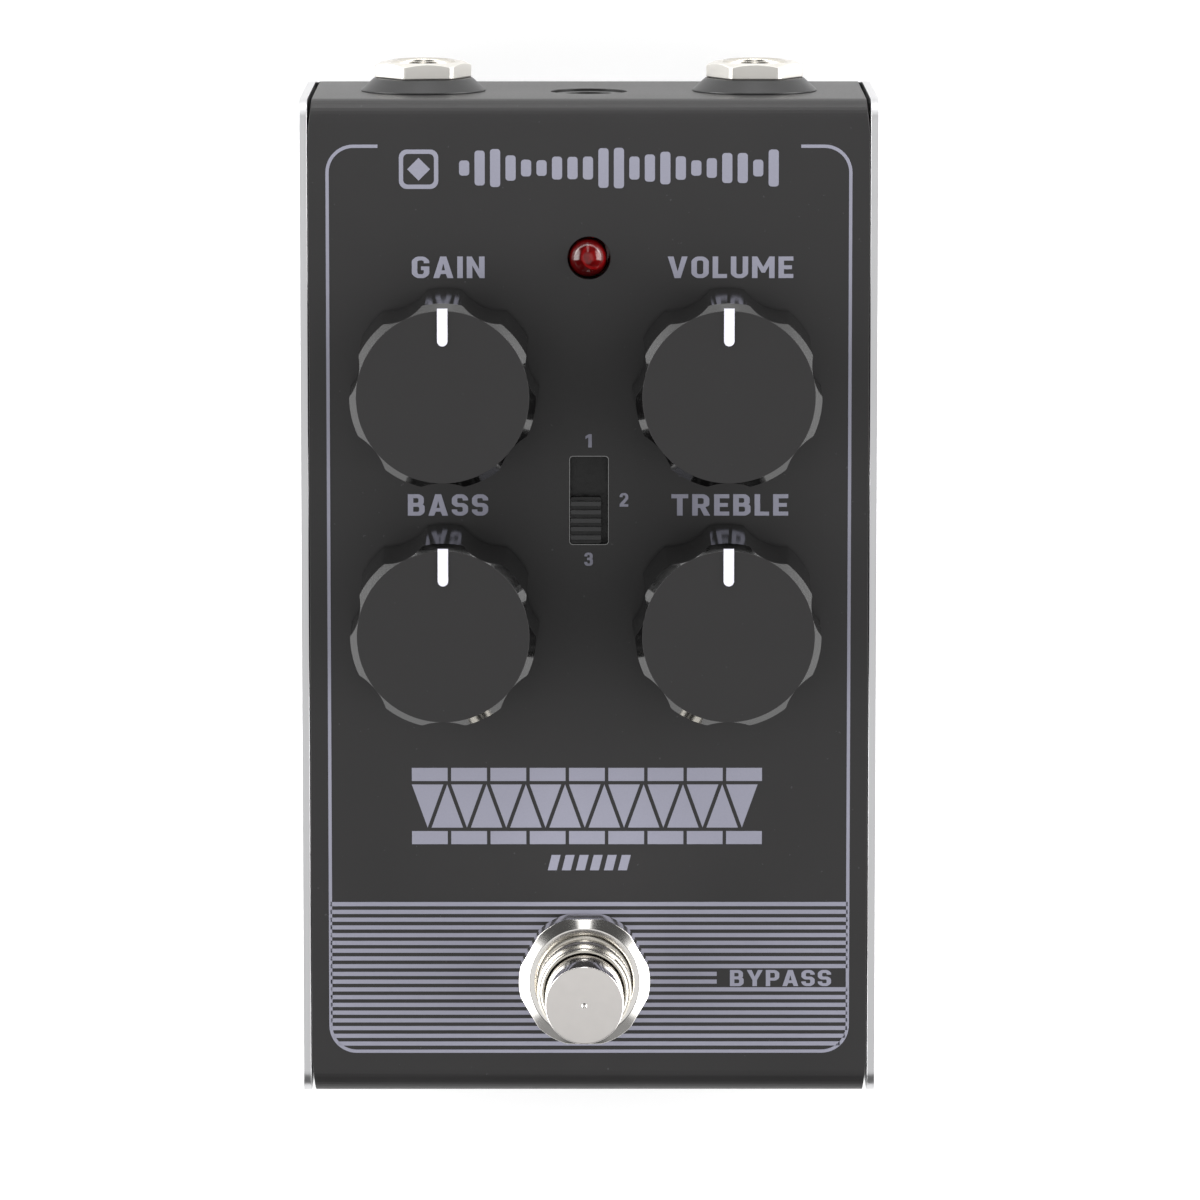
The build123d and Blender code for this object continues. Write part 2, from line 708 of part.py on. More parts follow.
def make_switch_spring():
    """The return spring between the bush's inner seat and the cap."""
    low = BUSH_SEAT_Z + SPRING_WIRE_R + SPRING_PLAY
    high = CAP_BOTTOM - SPRING_WIRE_R - SPRING_PLAY
    pitch = (high - low) / SPRING_TURNS
    with BuildPart() as spring:
        with BuildLine() as coil:
            Helix(pitch, high - low, SPRING_MEAN_R, center=(SWITCH_X, SWITCH_Y, low))
        with BuildSketch(coil.line ^ 0):
            Circle(SPRING_WIRE_R)
        sweep(is_frenet=True)
    return spring


def make_switch_washer():
    """The flat washer between the face and the foot switch's nut."""
    with BuildPart() as washer:
        with BuildSketch(Plane((SWITCH_X, SWITCH_Y, FACE_Z))):
            Circle(SWITCH_WASHER_R)
            Circle(BUSH_R + WASHER_PLAY, mode=Mode.SUBTRACT)
        extrude(amount=SWITCH_WASHER_H)
    return washer


def make_switch_nut(bottom, height):
    """A hexagon nut on the foot switch's bush, a flat to the rear."""
    seat = Plane((SWITCH_X, SWITCH_Y, bottom))
    return make_hex_nut(
        seat,
        height,
        SWITCH_NUT_FLATS,
        BUSH_R + THREAD_PLAY,
        SWITCH_NUT_RIM_R,
        SWITCH_NUT_CORNER_R,
        SWITCH_NUT_FALL,
    )


def make_switch_housing():
    """The switch's moulded body, hollow for the end of the stem."""
    with BuildPart() as housing:
        with BuildSketch(Plane((SWITCH_X, SWITCH_Y, SWITCH_BODY_BOTTOM))):
            RectangleRounded(SWITCH_BODY_X, SWITCH_BODY_Y, SWITCH_BODY_CORNER_R)
        extrude(amount=BUSH_BOTTOM - SWITCH_BODY_BOTTOM)
        with BuildSketch(Plane((SWITCH_X, SWITCH_Y, SWITCH_CAVITY_BOTTOM))):
            Circle(SWITCH_CAVITY_R)
        extrude(amount=BUSH_BOTTOM - SWITCH_CAVITY_BOTTOM, mode=Mode.SUBTRACT)
    return housing


def make_switch_lugs():
    """Nine flat lugs in a three by three grid under the housing."""
    with BuildPart() as lugs:
        with BuildSketch(Plane((SWITCH_X, SWITCH_Y, SWITCH_BODY_BOTTOM))):
            with GridLocations(LUG_PITCH, LUG_PITCH, 3, 3):
                Rectangle(LUG_X, LUG_Y)
        extrude(amount=LUG_BOTTOM - SWITCH_BODY_BOTTOM)
    return lugs


def make_switch_board():
    """The small board soldered on the foot switch's lugs."""
    length = SWITCH_BOARD_REAR - SWITCH_BOARD_FRONT
    with BuildPart() as board:
        with BuildSketch(level(SWITCH_BOARD_Z)):
            with Locations((SWITCH_X, (SWITCH_BOARD_REAR + SWITCH_BOARD_FRONT) / 2)):
                RectangleRounded(SWITCH_BOARD_X, length, SWITCH_BOARD_CORNER_R)
            with Locations((SWITCH_X, SWITCH_Y)):
                with GridLocations(LUG_PITCH, LUG_PITCH, 3, 3):
                    Rectangle(LUG_X + 2 * LUG_PLAY, LUG_Y + 2 * LUG_PLAY, mode=Mode.SUBTRACT)
        extrude(amount=BOARD_THICK)
    return board


def make_cable_headers():
    """The flat cable's two sockets: one under the main board, one on the foot switch's board."""
    with BuildPart() as headers:
        with BuildSketch(level(BOARD_BOTTOM)):
            with Locations((0, MAIN_HEADER_Y)):
                Rectangle(HEADER_X, HEADER_Y)
        extrude(amount=-HEADER_H)
        with BuildSketch(level(SWITCH_BOARD_Z + BOARD_THICK)):
            with Locations((0, FOOT_HEADER_Y)):
                Rectangle(HEADER_X, HEADER_Y)
        extrude(amount=HEADER_H)
    return headers


def make_ribbon_cable():
    """The flat cable from the main board down and forward to the foot switch's board."""
    start = (MAIN_HEADER_Y - HEADER_Y / 2, BOARD_BOTTOM - HEADER_H / 2)
    end = (FOOT_HEADER_Y + HEADER_Y / 2, SWITCH_BOARD_Z + BOARD_THICK + HEADER_H / 2)
    with BuildPart() as ribbon:
        with BuildLine(Plane.YZ):
            FilletPolyline(
                start,
                (start[0] - RIBBON_LEAD, start[1]),
                (end[0] + RIBBON_LEAD, end[1]),
                end,
                radius=RIBBON_BEND_R,
            )
        with BuildSketch(Plane(origin=(0, *start), x_dir=(1, 0, 0), z_dir=(0, -1, 0))):
            Rectangle(RIBBON_WIDTH, RIBBON_THICK)
        sweep()
    return ribbon


# ---- jacks and power inlet ----
def make_jack_housing(side):
    """A jack's moulded body with the plug's bore and two pockets for its leaf contacts."""
    x = side * JACK_X
    with BuildPart() as housing:
        with BuildSketch(rear(JACK_BODY_INNER_Y)):
            with Locations((-x, JACK_Z)):
                RectangleRounded(JACK_BODY_X, 2 * JACK_BODY_HALF_H, JACK_BODY_CORNER_R)
        extrude(amount=REAR_INNER - JACK_BODY_INNER_Y)
        with BuildSketch(rear(JACK_BORE_END_Y)):
            with Locations((-x, JACK_Z)):
                Circle(PLUG_CHANNEL_R)
        extrude(amount=REAR_INNER - JACK_BORE_END_Y, mode=Mode.SUBTRACT)
        with BuildSketch(rear(SLEEVE_INNER_Y)):
            with Locations((-x, JACK_Z)):
                Circle(SLEEVE_R)
        extrude(amount=REAR_INNER - SLEEVE_INNER_Y, mode=Mode.SUBTRACT)
        with BuildSketch(rear(LEAF_START_Y)):
            for way in (-1, 1):
                with Locations((-x + way * (LEAF_POCKET_START + LEAF_POCKET_WIDTH / 2), JACK_Z)):
                    Rectangle(LEAF_POCKET_WIDTH, LEAF_POCKET_HEIGHT)
        extrude(amount=LEAF_POCKET_END_Y - LEAF_START_Y, mode=Mode.SUBTRACT)
    return housing


def make_jack_contacts():
    """Two leaf contacts beside each jack's bore."""
    with BuildPart() as leaves:
        with BuildSketch(rear(LEAF_START_Y)):
            for side in (-1, 1):
                for way in (-1, 1):
                    with Locations((-side * JACK_X + way * (LEAF_OFFSET + LEAF_THICK / 2), JACK_Z)):
                        Rectangle(LEAF_THICK, LEAF_HEIGHT)
        extrude(amount=LEAF_END_Y - LEAF_START_Y)
    return leaves


def make_jack_sleeve(side):
    """A jack's threaded metal sleeve, which guides the plug."""
    with BuildPart() as sleeve:
        with BuildSketch(rear(SLEEVE_INNER_Y)):
            with Locations((-side * JACK_X, JACK_Z)):
                Circle(SLEEVE_R)
                Circle(PLUG_BORE_R, mode=Mode.SUBTRACT)
        extrude(amount=SLEEVE_END_Y - SLEEVE_INNER_Y)
        rim = sleeve.edges().filter_by(GeomType.CIRCLE).group_by(Axis.Y)[-1].sort_by(SortBy.RADIUS)[-1]
        chamfer(rim, SLEEVE_CHAMFER)
    return sleeve


def make_jack_washers():
    """The black tapered washer behind each jack's nut."""
    taper = JACK_WASHER_FOOT_R - JACK_WASHER_FACE_R
    with BuildPart() as washers:
        with BuildSketch(rear(REAR_Y)):
            with Locations((-JACK_X, JACK_Z), (JACK_X, JACK_Z)):
                Circle(JACK_WASHER_FOOT_R)
        extrude(amount=JACK_WASHER_H)
        chamfer(washers.edges().group_by(Axis.Y)[-1], JACK_WASHER_H - JACK_WASHER_EDGE, taper)
        with BuildSketch(rear(REAR_Y)):
            with Locations((-JACK_X, JACK_Z), (JACK_X, JACK_Z)):
                Circle(SLEEVE_R + THREAD_PLAY)
        extrude(amount=JACK_WASHER_H, mode=Mode.SUBTRACT)
    return washers


def make_jack_nuts():
    """A hexagon nut on each jack's sleeve, a corner upward or nearly so."""
    with BuildPart() as nuts:
        for side, turn in JACK_NUT_TURN.items():
            seat = Plane(
                origin=(side * JACK_X, REAR_Y + JACK_WASHER_H, JACK_Z), x_dir=(-1, 0, 0), z_dir=(0, 1, 0)
            )
            nut = make_hex_nut(
                seat,
                JACK_NUT_H,
                JACK_NUT_FLATS,
                SLEEVE_R + THREAD_PLAY,
                JACK_NUT_RIM_R,
                JACK_NUT_CORNER_R,
                JACK_NUT_FALL,
                30 + turn,
            )
            add(nut.part)
    return nuts


def make_inlet_housing():
    """The power inlet's moulded body, with the collar that fills the hole in the rear wall."""
    with BuildPart() as housing:
        with BuildSketch(rear(INLET_BODY_INNER_Y)):
            with Locations((0, INLET_Z)):
                Rectangle(INLET_BODY_X, 2 * (BOARD_BOTTOM - INLET_Z))
        extrude(amount=REAR_INNER - INLET_BODY_INNER_Y)
        with BuildSketch(rear(REAR_INNER)):
            with Locations((0, INLET_Z)):
                Circle(INLET_COLLAR_R)
        extrude(amount=INLET_COLLAR_END_Y - REAR_INNER)
        with BuildSketch(rear(INLET_BORE_END_Y)):
            with Locations((0, INLET_Z)):
                Circle(INLET_BORE_R)
        extrude(amount=INLET_COLLAR_END_Y - INLET_BORE_END_Y, mode=Mode.SUBTRACT)
    return housing


def make_inlet_pin():
    """The power inlet's centre pin."""
    with BuildPart() as pin:
        with BuildSketch(rear(INLET_BORE_END_Y)):
            with Locations((0, INLET_Z)):
                Circle(INLET_PIN_R)
        extrude(amount=INLET_PIN_END_Y - INLET_BORE_END_Y)
        fillet(pin.edges().group_by(Axis.Y)[-1], INLET_PIN_TIP_R)
    return pin


# ---- small parts on the control board ----
def make_capacitors():
    """Upright round capacitors under the control board."""
    with BuildPart() as cans:
        for x, y, radius, height in CAN_PLACES:
            with BuildSketch(Plane((x, y, BOARD_BOTTOM))):
                Circle(radius)
            extrude(amount=-height)
    return cans


def make_film_capacitors():
    """Box-shaped capacitors under the control board."""
    with BuildPart() as boxes:
        with BuildSketch(level(BOARD_BOTTOM)):
            with Locations(*FILM_PLACES):
                Rectangle(FILM_X, FILM_Y)
        extrude(amount=-FILM_H)
    return boxes


def make_chips():
    """Eight-legged amplifier chips under the control board."""
    with BuildPart() as chips:
        with BuildSketch(level(BOARD_BOTTOM - CHIP_STANDOFF)):
            with Locations(*CHIP_PLACES):
                Rectangle(CHIP_X, CHIP_Y)
        extrude(amount=-CHIP_H)
        with BuildSketch(level(BOARD_BOTTOM)):
            for place in CHIP_PLACES:
                with Locations(place):
                    with GridLocations(CHIP_LEG_SPAN, CHIP_LEG_PITCH, 2, 4):
                        Rectangle(CHIP_LEG_X, CHIP_LEG_Y)
        extrude(amount=-CHIP_LEG_H)
    return chips


save(make_top_cover(), "top_cover")
save(make_bottom_tray(), "bottom_tray")
save(make_case_screws(), "case_screws")
save(make_rubber_feet(), "rubber_feet")

save(make_control_board(), "control_board")
for control, (knob_x, knob_y) in KNOB_PLACES.items():
    save(make_pot(knob_x, knob_y), f"pot_{control}")
    save(make_shaft(knob_x, knob_y), f"shaft_{control}")
    save(make_knob(knob_x, knob_y), f"knob_{control}")
    save(make_pointer(knob_x, knob_y), f"pointer_{control}")
save(make_pot_washers(), "pot_washers")
save(make_pot_nuts(), "pot_nuts")
save(make_slide_switch_body(), "slide_switch_body")
save(make_slide_switch_lever(), "slide_switch_lever")
save(make_status_led(), "status_led")
save(make_led_leads(), "led_leads")

save(make_switch_bushing(), "footswitch_bushing")
save(make_switch_plunger(), "footswitch_plunger")
save(make_switch_spring(), "footswitch_spring")
save(make_switch_housing(), "footswitch_housing")
save(make_switch_lugs(), "footswitch_lugs")
save(make_switch_board(), "footswitch_board")
save(make_switch_washer(), "footswitch_washer")
save(make_switch_nut(FACE_Z + SWITCH_WASHER_H, SWITCH_NUT_H), "footswitch_nut")
save(make_switch_nut(UNDERSIDE - INNER_NUT_H, INNER_NUT_H), "footswitch_inner_nut")
save(make_cable_headers(), "cable_headers")
save(make_ribbon_cable(), "ribbon_cable")

for jack, jack_side in (("output", -1), ("input", 1)):
    save(make_jack_housing(jack_side), f"{jack}_jack_housing")
    save(make_jack_sleeve(jack_side), f"{jack}_jack_sleeve")
save(make_jack_contacts(), "jack_contacts")
save(make_jack_washers(), "jack_washers")
save(make_jack_nuts(), "jack_nuts")
save(make_inlet_housing(), "power_inlet_housing")
save(make_inlet_pin(), "power_inlet_pin")

save(make_capacitors(), "capacitors")
save(make_film_capacitors(), "film_capacitors")
save(make_chips(), "amplifier_chips")
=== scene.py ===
"""The visible pieces of a compact guitar effects pedal, with their finishes, light and camera."""

import logging
import math
from dataclasses import dataclass
from enum import Enum
from typing import ClassVar, Sequence

import bmesh
import bpy
import numpy as np
from mathutils import Matrix, Vector
from mathutils.geometry import tessellate_polygon


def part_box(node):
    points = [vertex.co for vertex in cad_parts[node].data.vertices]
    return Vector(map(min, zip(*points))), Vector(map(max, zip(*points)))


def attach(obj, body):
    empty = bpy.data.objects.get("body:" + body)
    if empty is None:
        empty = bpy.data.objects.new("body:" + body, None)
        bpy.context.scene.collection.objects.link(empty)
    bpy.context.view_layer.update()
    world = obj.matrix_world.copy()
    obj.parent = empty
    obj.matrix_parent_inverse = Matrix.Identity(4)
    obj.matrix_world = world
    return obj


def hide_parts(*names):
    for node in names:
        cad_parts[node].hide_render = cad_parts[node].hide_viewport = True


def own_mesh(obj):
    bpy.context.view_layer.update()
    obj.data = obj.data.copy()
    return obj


MM = 0.001
LOG = logging.getLogger("pedal")
Colour = tuple[float, float, float]
Outline = list[tuple[float, float]]


# ---------------------------------------------------------------- node building
class Num:
    """A number socket: Python's operators on it add Math nodes to its tree."""

    def __init__(self, graph: "Graph", socket: bpy.types.NodeSocket) -> None:
        """Wrap a socket of a graph.

        Args:
            graph: The tree that the socket belongs to.
            socket: An output socket that carries one number.
        """
        self.graph = graph
        self.socket = socket

    def __add__(self, other: "Num | float") -> "Num":
        """Return self + other."""
        return self.graph.math("ADD", self, other)

    def __sub__(self, other: "Num | float") -> "Num":
        """Return self - other."""
        return self.graph.math("SUBTRACT", self, other)

    def __rsub__(self, other: float) -> "Num":
        """Return other - self."""
        return self.graph.math("SUBTRACT", other, self)

    def __mul__(self, other: "Num | float") -> "Num":
        """Return self * other."""
        return self.graph.math("MULTIPLY", self, other)

    def __truediv__(self, other: "Num | float") -> "Num":
        """Return self / other."""
        return self.graph.math("DIVIDE", self, other)

    def __pow__(self, other: float) -> "Num":
        """Return self to the power of other."""
        return self.graph.math("POWER", self, other)

    __radd__ = __add__
    __rmul__ = __mul__

    def over(self, other: "Num | float") -> "Num":
        """Return 1 where self is greater than other, else 0."""
        return self.graph.math("GREATER_THAN", self, other)

    def least(self, other: "Num | float") -> "Num":
        """Return the smaller of self and other."""
        return self.graph.math("MINIMUM", self, other)

    def most(self, other: "Num | float") -> "Num":
        """Return the larger of self and other."""
        return self.graph.math("MAXIMUM", self, other)


Feed = Num | bpy.types.NodeSocket | float | int | str | tuple | Vector


class Graph:
    """Makes the nodes of one tree, of a material, a world or a geometry modifier."""

    def __init__(self, tree: bpy.types.NodeTree) -> None:
        """Start on a tree.

        Args:
            tree: The tree to build in.
        """
        self.tree = tree

    def node(
        self, kind: str, settings: dict | None = None, inputs: dict[str | int, Feed] | None = None
    ) -> bpy.types.Node:
        """Make one node.

        Args:
            kind: The node's type name.
            settings: Properties set first; "stops" gives a ramp's (place, colour) pairs.
            inputs: Values or links, by the socket's name or number.

        Returns:
            The new node.
        """
        made = self.tree.nodes.new(kind)
        for name, value in (settings or {}).items():
            if name == "stops":
                self._set_stops(made.color_ramp, value)
            else:
                setattr(made, name, value)
        for key, value in (inputs or {}).items():
            self.feed(made.inputs[key], value)
        return made

    def feed(self, socket: bpy.types.NodeSocket, value: Feed) -> None:
        """Link a socket to another, or set its constant.

        Args:
            socket: The input socket.
            value: What it gets.
        """
        if isinstance(value, Num):
            value = value.socket
        if isinstance(value, bpy.types.NodeSocket):
            self.tree.links.new(value, socket)
        else:
            socket.default_value = value

    @staticmethod
    def _set_stops(ramp: bpy.types.ColorRamp, stops: Sequence[tuple[float, Colour]]) -> None:
        """Give a colour ramp its stops."""
        while len(ramp.elements) < len(stops):
            ramp.elements.new(1.0)
        for element, (place, colour) in zip(ramp.elements, stops):
            element.position = place
            element.color = (*colour, 1.0)

    def math(self, operation: str, *values: Num | float) -> Num:
        """Return the result of one Math node on the values."""
        made = self.node("ShaderNodeMath", {"operation": operation}, dict(enumerate(values)))
        return Num(self, made.outputs[0])

    def smooth(self, value: Num, low: float, high: float) -> Num:
        """Return a smooth step of value from 0 at low to 1 at high."""
        made = self.node(
            "ShaderNodeMapRange",
            {"interpolation_type": "SMOOTHSTEP"},
            {"Value": value, "From Min": low, "From Max": high},
        )
        return Num(self, made.outputs["Result"])

    def split(self, vector: bpy.types.NodeSocket) -> tuple[Num, Num, Num]:
        """Return the x, y and z of a vector."""
        made = self.node("ShaderNodeSeparateXYZ", inputs={0: vector})
        return Num(self, made.outputs[0]), Num(self, made.outputs[1]), Num(self, made.outputs[2])

    def blend(self, mask: Num | float, first: Feed, second: Feed) -> bpy.types.NodeSocket:
        """Return a colour that goes from first to second as mask goes from 0 to 1."""
        made = self.node(
            "ShaderNodeMix", {"data_type": "RGBA"}, {0: mask, 6: rgba(first), 7: rgba(second)}
        )
        return made.outputs[2]

    def scaled(self, colour: Feed, factor: Num | float) -> bpy.types.NodeSocket:
        """Return a colour times a number, through a vector node."""
        made = self.node("ShaderNodeVectorMath", {"operation": "SCALE"}, {0: colour, "Scale": factor})
        return made.outputs[0]

    def place(self) -> bpy.types.NodeSocket:
        """Return the piece's own coordinates, in metres."""
        return self.node("ShaderNodeTexCoord").outputs["Object"]

    def stretched(self, scale: Colour) -> bpy.types.NodeSocket:
        """Return the piece's own coordinates, each multiplied by its part of scale."""
        made = self.node("ShaderNodeMapping", inputs={"Vector": self.place(), "Scale": scale})
        return made.outputs[0]

    def grain(
        self, size: float, detail: float = 2.0, vector: bpy.types.NodeSocket | None = None
    ) -> Num:
        """Return noise between 0 and 1.

        Args:
            size: The width of one lump, in metres.
            detail: How many finer layers it has.
            vector: The coordinates it reads, or none for the piece's own.
        """
        made = self.node(
            "ShaderNodeTexNoise",
            inputs={"Vector": vector or self.place(), "Scale": 1.0 / size, "Detail": detail},
        )
        return Num(self, made.outputs["Fac"])

    def relief(self, height: Num, depth: float, over: bpy.types.NodeSocket | None = None):
        """Return a normal raised by a height pattern.

        Args:
            height: The pattern, from 0 to 1.
            depth: How far 1 stands above 0, in metres.
            over: A normal to add to, if any.
        """
        links: dict[str | int, Feed] = {"Height": height, "Distance": depth, "Strength": 1.0}
        if over is not None:
            links["Normal"] = over
        return self.node("ShaderNodeBump", inputs=links).outputs[0]


def rgba(colour: Feed) -> Feed:
    """Return a plain colour with its alpha, and anything else as it is."""
    if isinstance(colour, tuple) and len(colour) == 3:
        return (*colour, 1.0)
    return colour


# ---------------------------------------------------------------- finishes
@dataclass(frozen=True)
class Finish:
    """What every finish shares: its name, colour and gloss."""

    name: str
    colour: Colour
    roughness: float

    def material(self) -> bpy.types.Material:
        """Return this finish's material, made at its first use."""
        title = f"{self.name}_finish"
        found = bpy.data.materials.get(title)
        if found is not None:
            return found
        made = bpy.data.materials.new(title)
        made.use_nodes = True
        made.node_tree.nodes.clear()
        graph = Graph(made.node_tree)
        shader = graph.node("ShaderNodeBsdfPrincipled", inputs={"Base Color": rgba(self.colour)})
        shader.inputs["Roughness"].default_value = self.roughness
        self.dress(graph, shader.inputs)
        graph.node("ShaderNodeOutputMaterial", inputs={"Surface": shader.outputs[0]})
        return made

    def dress(self, graph: Graph, sockets: bpy.types.NodeInputs) -> None:
        """Add what varies over the surface; each kind of finish has its own."""
        raise NotImplementedError


@dataclass(frozen=True)
class SatinPaint(Finish):
    """Fine-textured black powder paint."""

    texture: float = 0.35 * MM
    depth: float = 0.006 * MM

    def dress(self, graph: Graph, sockets: bpy.types.NodeInputs) -> None:
        """Fine orange peel, slow cloudiness and sparse pale dust."""
        cloud = graph.grain(14 * MM, 3.0)
        fine = graph.grain(self.texture, 3.0)
        dust = graph.smooth(graph.grain(0.55 * MM, 1.0), 0.77, 0.83)
        shade = graph.scaled(rgba(self.colour)[:3], 0.8 + 0.4 * cloud)
        tint = graph.blend(dust * 0.12, shade, (0.25, 0.25, 0.27))
        graph.feed(sockets["Base Color"], tint)
        graph.feed(sockets["Roughness"], self.roughness - 0.05 + 0.1 * fine + 0.04 * cloud)
        graph.feed(sockets["Normal"], graph.relief(fine, self.depth))


@dataclass(frozen=True)
class PrintInk(Finish):
    """Screen-printed ink with a faint mesh mottle."""

    def dress(self, graph: Graph, sockets: bpy.types.NodeInputs) -> None:
        """Slightly uneven cover and the paint's texture showing through."""
        fine = graph.grain(0.25 * MM, 3.0)
        cloud = graph.grain(9 * MM, 2.0)
        graph.feed(sockets["Base Color"], graph.scaled(self.colour, 0.9 + 0.12 * fine + 0.08 * cloud))
        graph.feed(sockets["Roughness"], self.roughness + 0.1 * fine)
        graph.feed(sockets["Normal"], graph.relief(fine, 0.005 * MM))


class Lay(Enum):
    """Which way a metal's fine marks run."""

    ALONG_Y = (260.0, 9.0, 260.0)
    ALONG_Z = (260.0, 260.0, 9.0)
    NONE = (60.0, 60.0, 60.0)


@dataclass(frozen=True)
class Metal(Finish):
    """Bare or plated metal with fine directional marks and small handling scratches."""

    lay: Lay = Lay.NONE
    mark: float = 0.08
    depth: float = 0.002 * MM

    def dress(self, graph: Graph, sockets: bpy.types.NodeInputs) -> None:
        """Marks along the lay, cloudy gloss and slight tarnish."""
        scale = tuple(part / (60 * MM) for part in self.lay.value)
        marks = Num(
            graph,
            graph.node(
                "ShaderNodeTexNoise",
                inputs={"Vector": graph.stretched(scale), "Scale": 1.0, "Detail": 3.0},
            ).outputs["Fac"],
        )
        cloud = graph.grain(6 * MM, 3.0)
        sockets["Metallic"].default_value = 1.0
        graph.feed(sockets["Base Color"], graph.scaled(self.colour, 0.93 + 0.06 * cloud + 0.05 * marks))
        graph.feed(
            sockets["Roughness"],
            (self.roughness - 0.4 * self.mark + self.mark * marks + 0.5 * self.mark * cloud).most(0.03),
        )
        graph.feed(sockets["Normal"], graph.relief(marks, self.depth))


@dataclass(frozen=True)
class TurnedMetal(Finish):
    """Metal faced on a lathe: rings about an upright axis on what faces up, polish elsewhere."""

    axis: tuple[float, float] = (0.0, 0.0)
    pitch: float = 0.16 * MM
    face_roughness: float = 0.3

    def dress(self, graph: Graph, sockets: bpy.types.NodeInputs) -> None:
        """Concentric tool marks on the flat end, and a bright turned side."""
        x, y, _ = graph.split(graph.place())
        radius = graph.math("SQRT", (x - self.axis[0]) ** 2.0 + (y - self.axis[1]) ** 2.0)
        up = graph.split(graph.node("ShaderNodeNewGeometry").outputs["True Normal"])[2]
        flat = graph.smooth(up, 0.85, 0.98)
        wander = graph.grain(2.5 * MM, 2.0)
        rings = graph.math("SINE", (radius / self.pitch + 0.8 * wander) * (2 * math.pi)) * 0.5 + 0.5
        cloud = graph.grain(1.6 * MM, 4.0)
        sockets["Metallic"].default_value = 1.0
        graph.feed(sockets["Base Color"], graph.scaled(self.colour, 0.95 + 0.08 * cloud - 0.06 * flat))
        rough = self.roughness + (self.face_roughness - self.roughness) * flat + 0.08 * cloud * flat
        graph.feed(sockets["Roughness"], rough + 0.06 * rings * flat)
        graph.feed(sockets["Normal"], graph.relief(rings * flat, 0.0015 * MM))


@dataclass(frozen=True)
class Plastic(Finish):
    """Moulded plastic with a fine spark-eroded grain and soft gloss changes."""

    texture: float = 0.3 * MM
    depth: float = 0.004 * MM
    spread: float = 0.12

    def dress(self, graph: Graph, sockets: bpy.types.NodeInputs) -> None:
        """Grain, cloudy gloss and a little change of colour."""
        fine = graph.grain(self.texture, 3.0)
        cloud = graph.grain(5 * MM, 3.0)
        graph.feed(sockets["Base Color"], graph.scaled(self.colour, 0.85 + self.spread * fine + 0.2 * cloud))
        graph.feed(sockets["Roughness"], self.roughness + self.spread * (cloud - 0.5) + 0.06 * fine)
        graph.feed(sockets["Normal"], graph.relief(fine, self.depth))


@dataclass(frozen=True)
class KnobPlastic(Finish):
    """Black knob plastic: a satin top face, glossy bevel and sides, with painted light: the top face coloured
    lighter than the flanks.
    """

    top: float = 0.0
    top_roughness: float = 0.42

    def dress(self, graph: Graph, sockets: bpy.types.NodeInputs) -> None:
        """A textured top painted lighter, polished flanks painted darker with faint flow lines."""
        sockets["Specular IOR Level"].default_value = 0.35
        sockets["Coat Roughness"].default_value = 0.04
        height = graph.split(graph.place())[2]
        face = graph.smooth(height, self.top - 0.06 * MM, self.top - 0.01 * MM)
        chamfer = graph.smooth(height, self.top - 1.3 * MM, self.top - 1.0 * MM)
        graph.feed(sockets["Coat Weight"], (1.0 - face) * (0.12 + 0.88 * chamfer))
        fine = graph.grain(0.22 * MM, 4.0)
        cloud = graph.grain(7 * MM, 3.0)
        dust = graph.smooth(graph.grain(0.5 * MM, 1.0), 0.76, 0.84) * face
        # Painted light: the top face's colour is raised well above the flanks', a painted highlight on the
        # top and painted shade on the flanks.
        shade = graph.scaled(self.colour, 0.2 + 0.2 * cloud + 1.6 * face)
        graph.feed(sockets["Base Color"], graph.blend(dust * 0.1, shade, (0.2, 0.2, 0.2)))
        rough = self.roughness + 0.04 * cloud + (self.top_roughness - self.roughness) * face
        graph.feed(sockets["Roughness"], rough + 0.05 * fine * face)
        graph.feed(sockets["Normal"], graph.relief(fine * (0.25 + 0.75 * face), 0.006 * MM))


@dataclass(frozen=True)
class Rubber(Finish):
    """Matt rubber with a coarse bloom."""

    def dress(self, graph: Graph, sockets: bpy.types.NodeInputs) -> None:
        """Bloom and scuffs."""
        cloud = graph.grain(3 * MM, 4.0)
        fine = graph.grain(0.4 * MM, 3.0)
        graph.feed(sockets["Base Color"], graph.blend(cloud * 0.4, self.colour, (0.05, 0.05, 0.05)))
        graph.feed(sockets["Roughness"], self.roughness + 0.15 * fine)
        graph.feed(sockets["Normal"], graph.relief(fine, 0.02 * MM))


@dataclass(frozen=True)
class LampPlastic(Finish):
    """Tinted clear resin of the lamp."""

    def dress(self, graph: Graph, sockets: bpy.types.NodeInputs) -> None:
        """Clear resin, a little hazy towards its foot."""
        sockets["Transmission Weight"].default_value = 0.85
        sockets["IOR"].default_value = 1.5
        cloud = graph.grain(1.2 * MM, 3.0)
        graph.feed(sockets["Base Color"], graph.scaled(self.colour, 0.85 + 0.3 * cloud))
        graph.feed(sockets["Roughness"], self.roughness + 0.05 * cloud)


@dataclass(frozen=True)
class BoardLaminate(Finish):
    """Circuit board: solder mask over copper tracks."""

    track: Colour = (0.02, 0.09, 0.035)

    def dress(self, graph: Graph, sockets: bpy.types.NodeInputs) -> None:
        """Tracks in a slightly raised brick pattern under the mask."""
        bricks = graph.node(
            "ShaderNodeTexBrick",
            inputs={
                "Vector": graph.place(),
                "Color1": (1, 1, 1, 1),
                "Color2": (0.75, 0.75, 0.75, 1),
                "Mortar": (0, 0, 0, 1),
                "Scale": 1.0 / (9 * MM),
                "Mortar Size": 0.03,
            },
        )
        copper = graph.split(bricks.outputs["Color"])[0]
        fine = graph.grain(0.3 * MM, 3.0)
        graph.feed(sockets["Base Color"], graph.blend(copper * (0.8 + 0.2 * fine), self.colour, self.track))
        graph.feed(sockets["Roughness"], self.roughness + 0.1 * fine)
        graph.feed(sockets["Normal"], graph.relief(copper, 0.02 * MM))


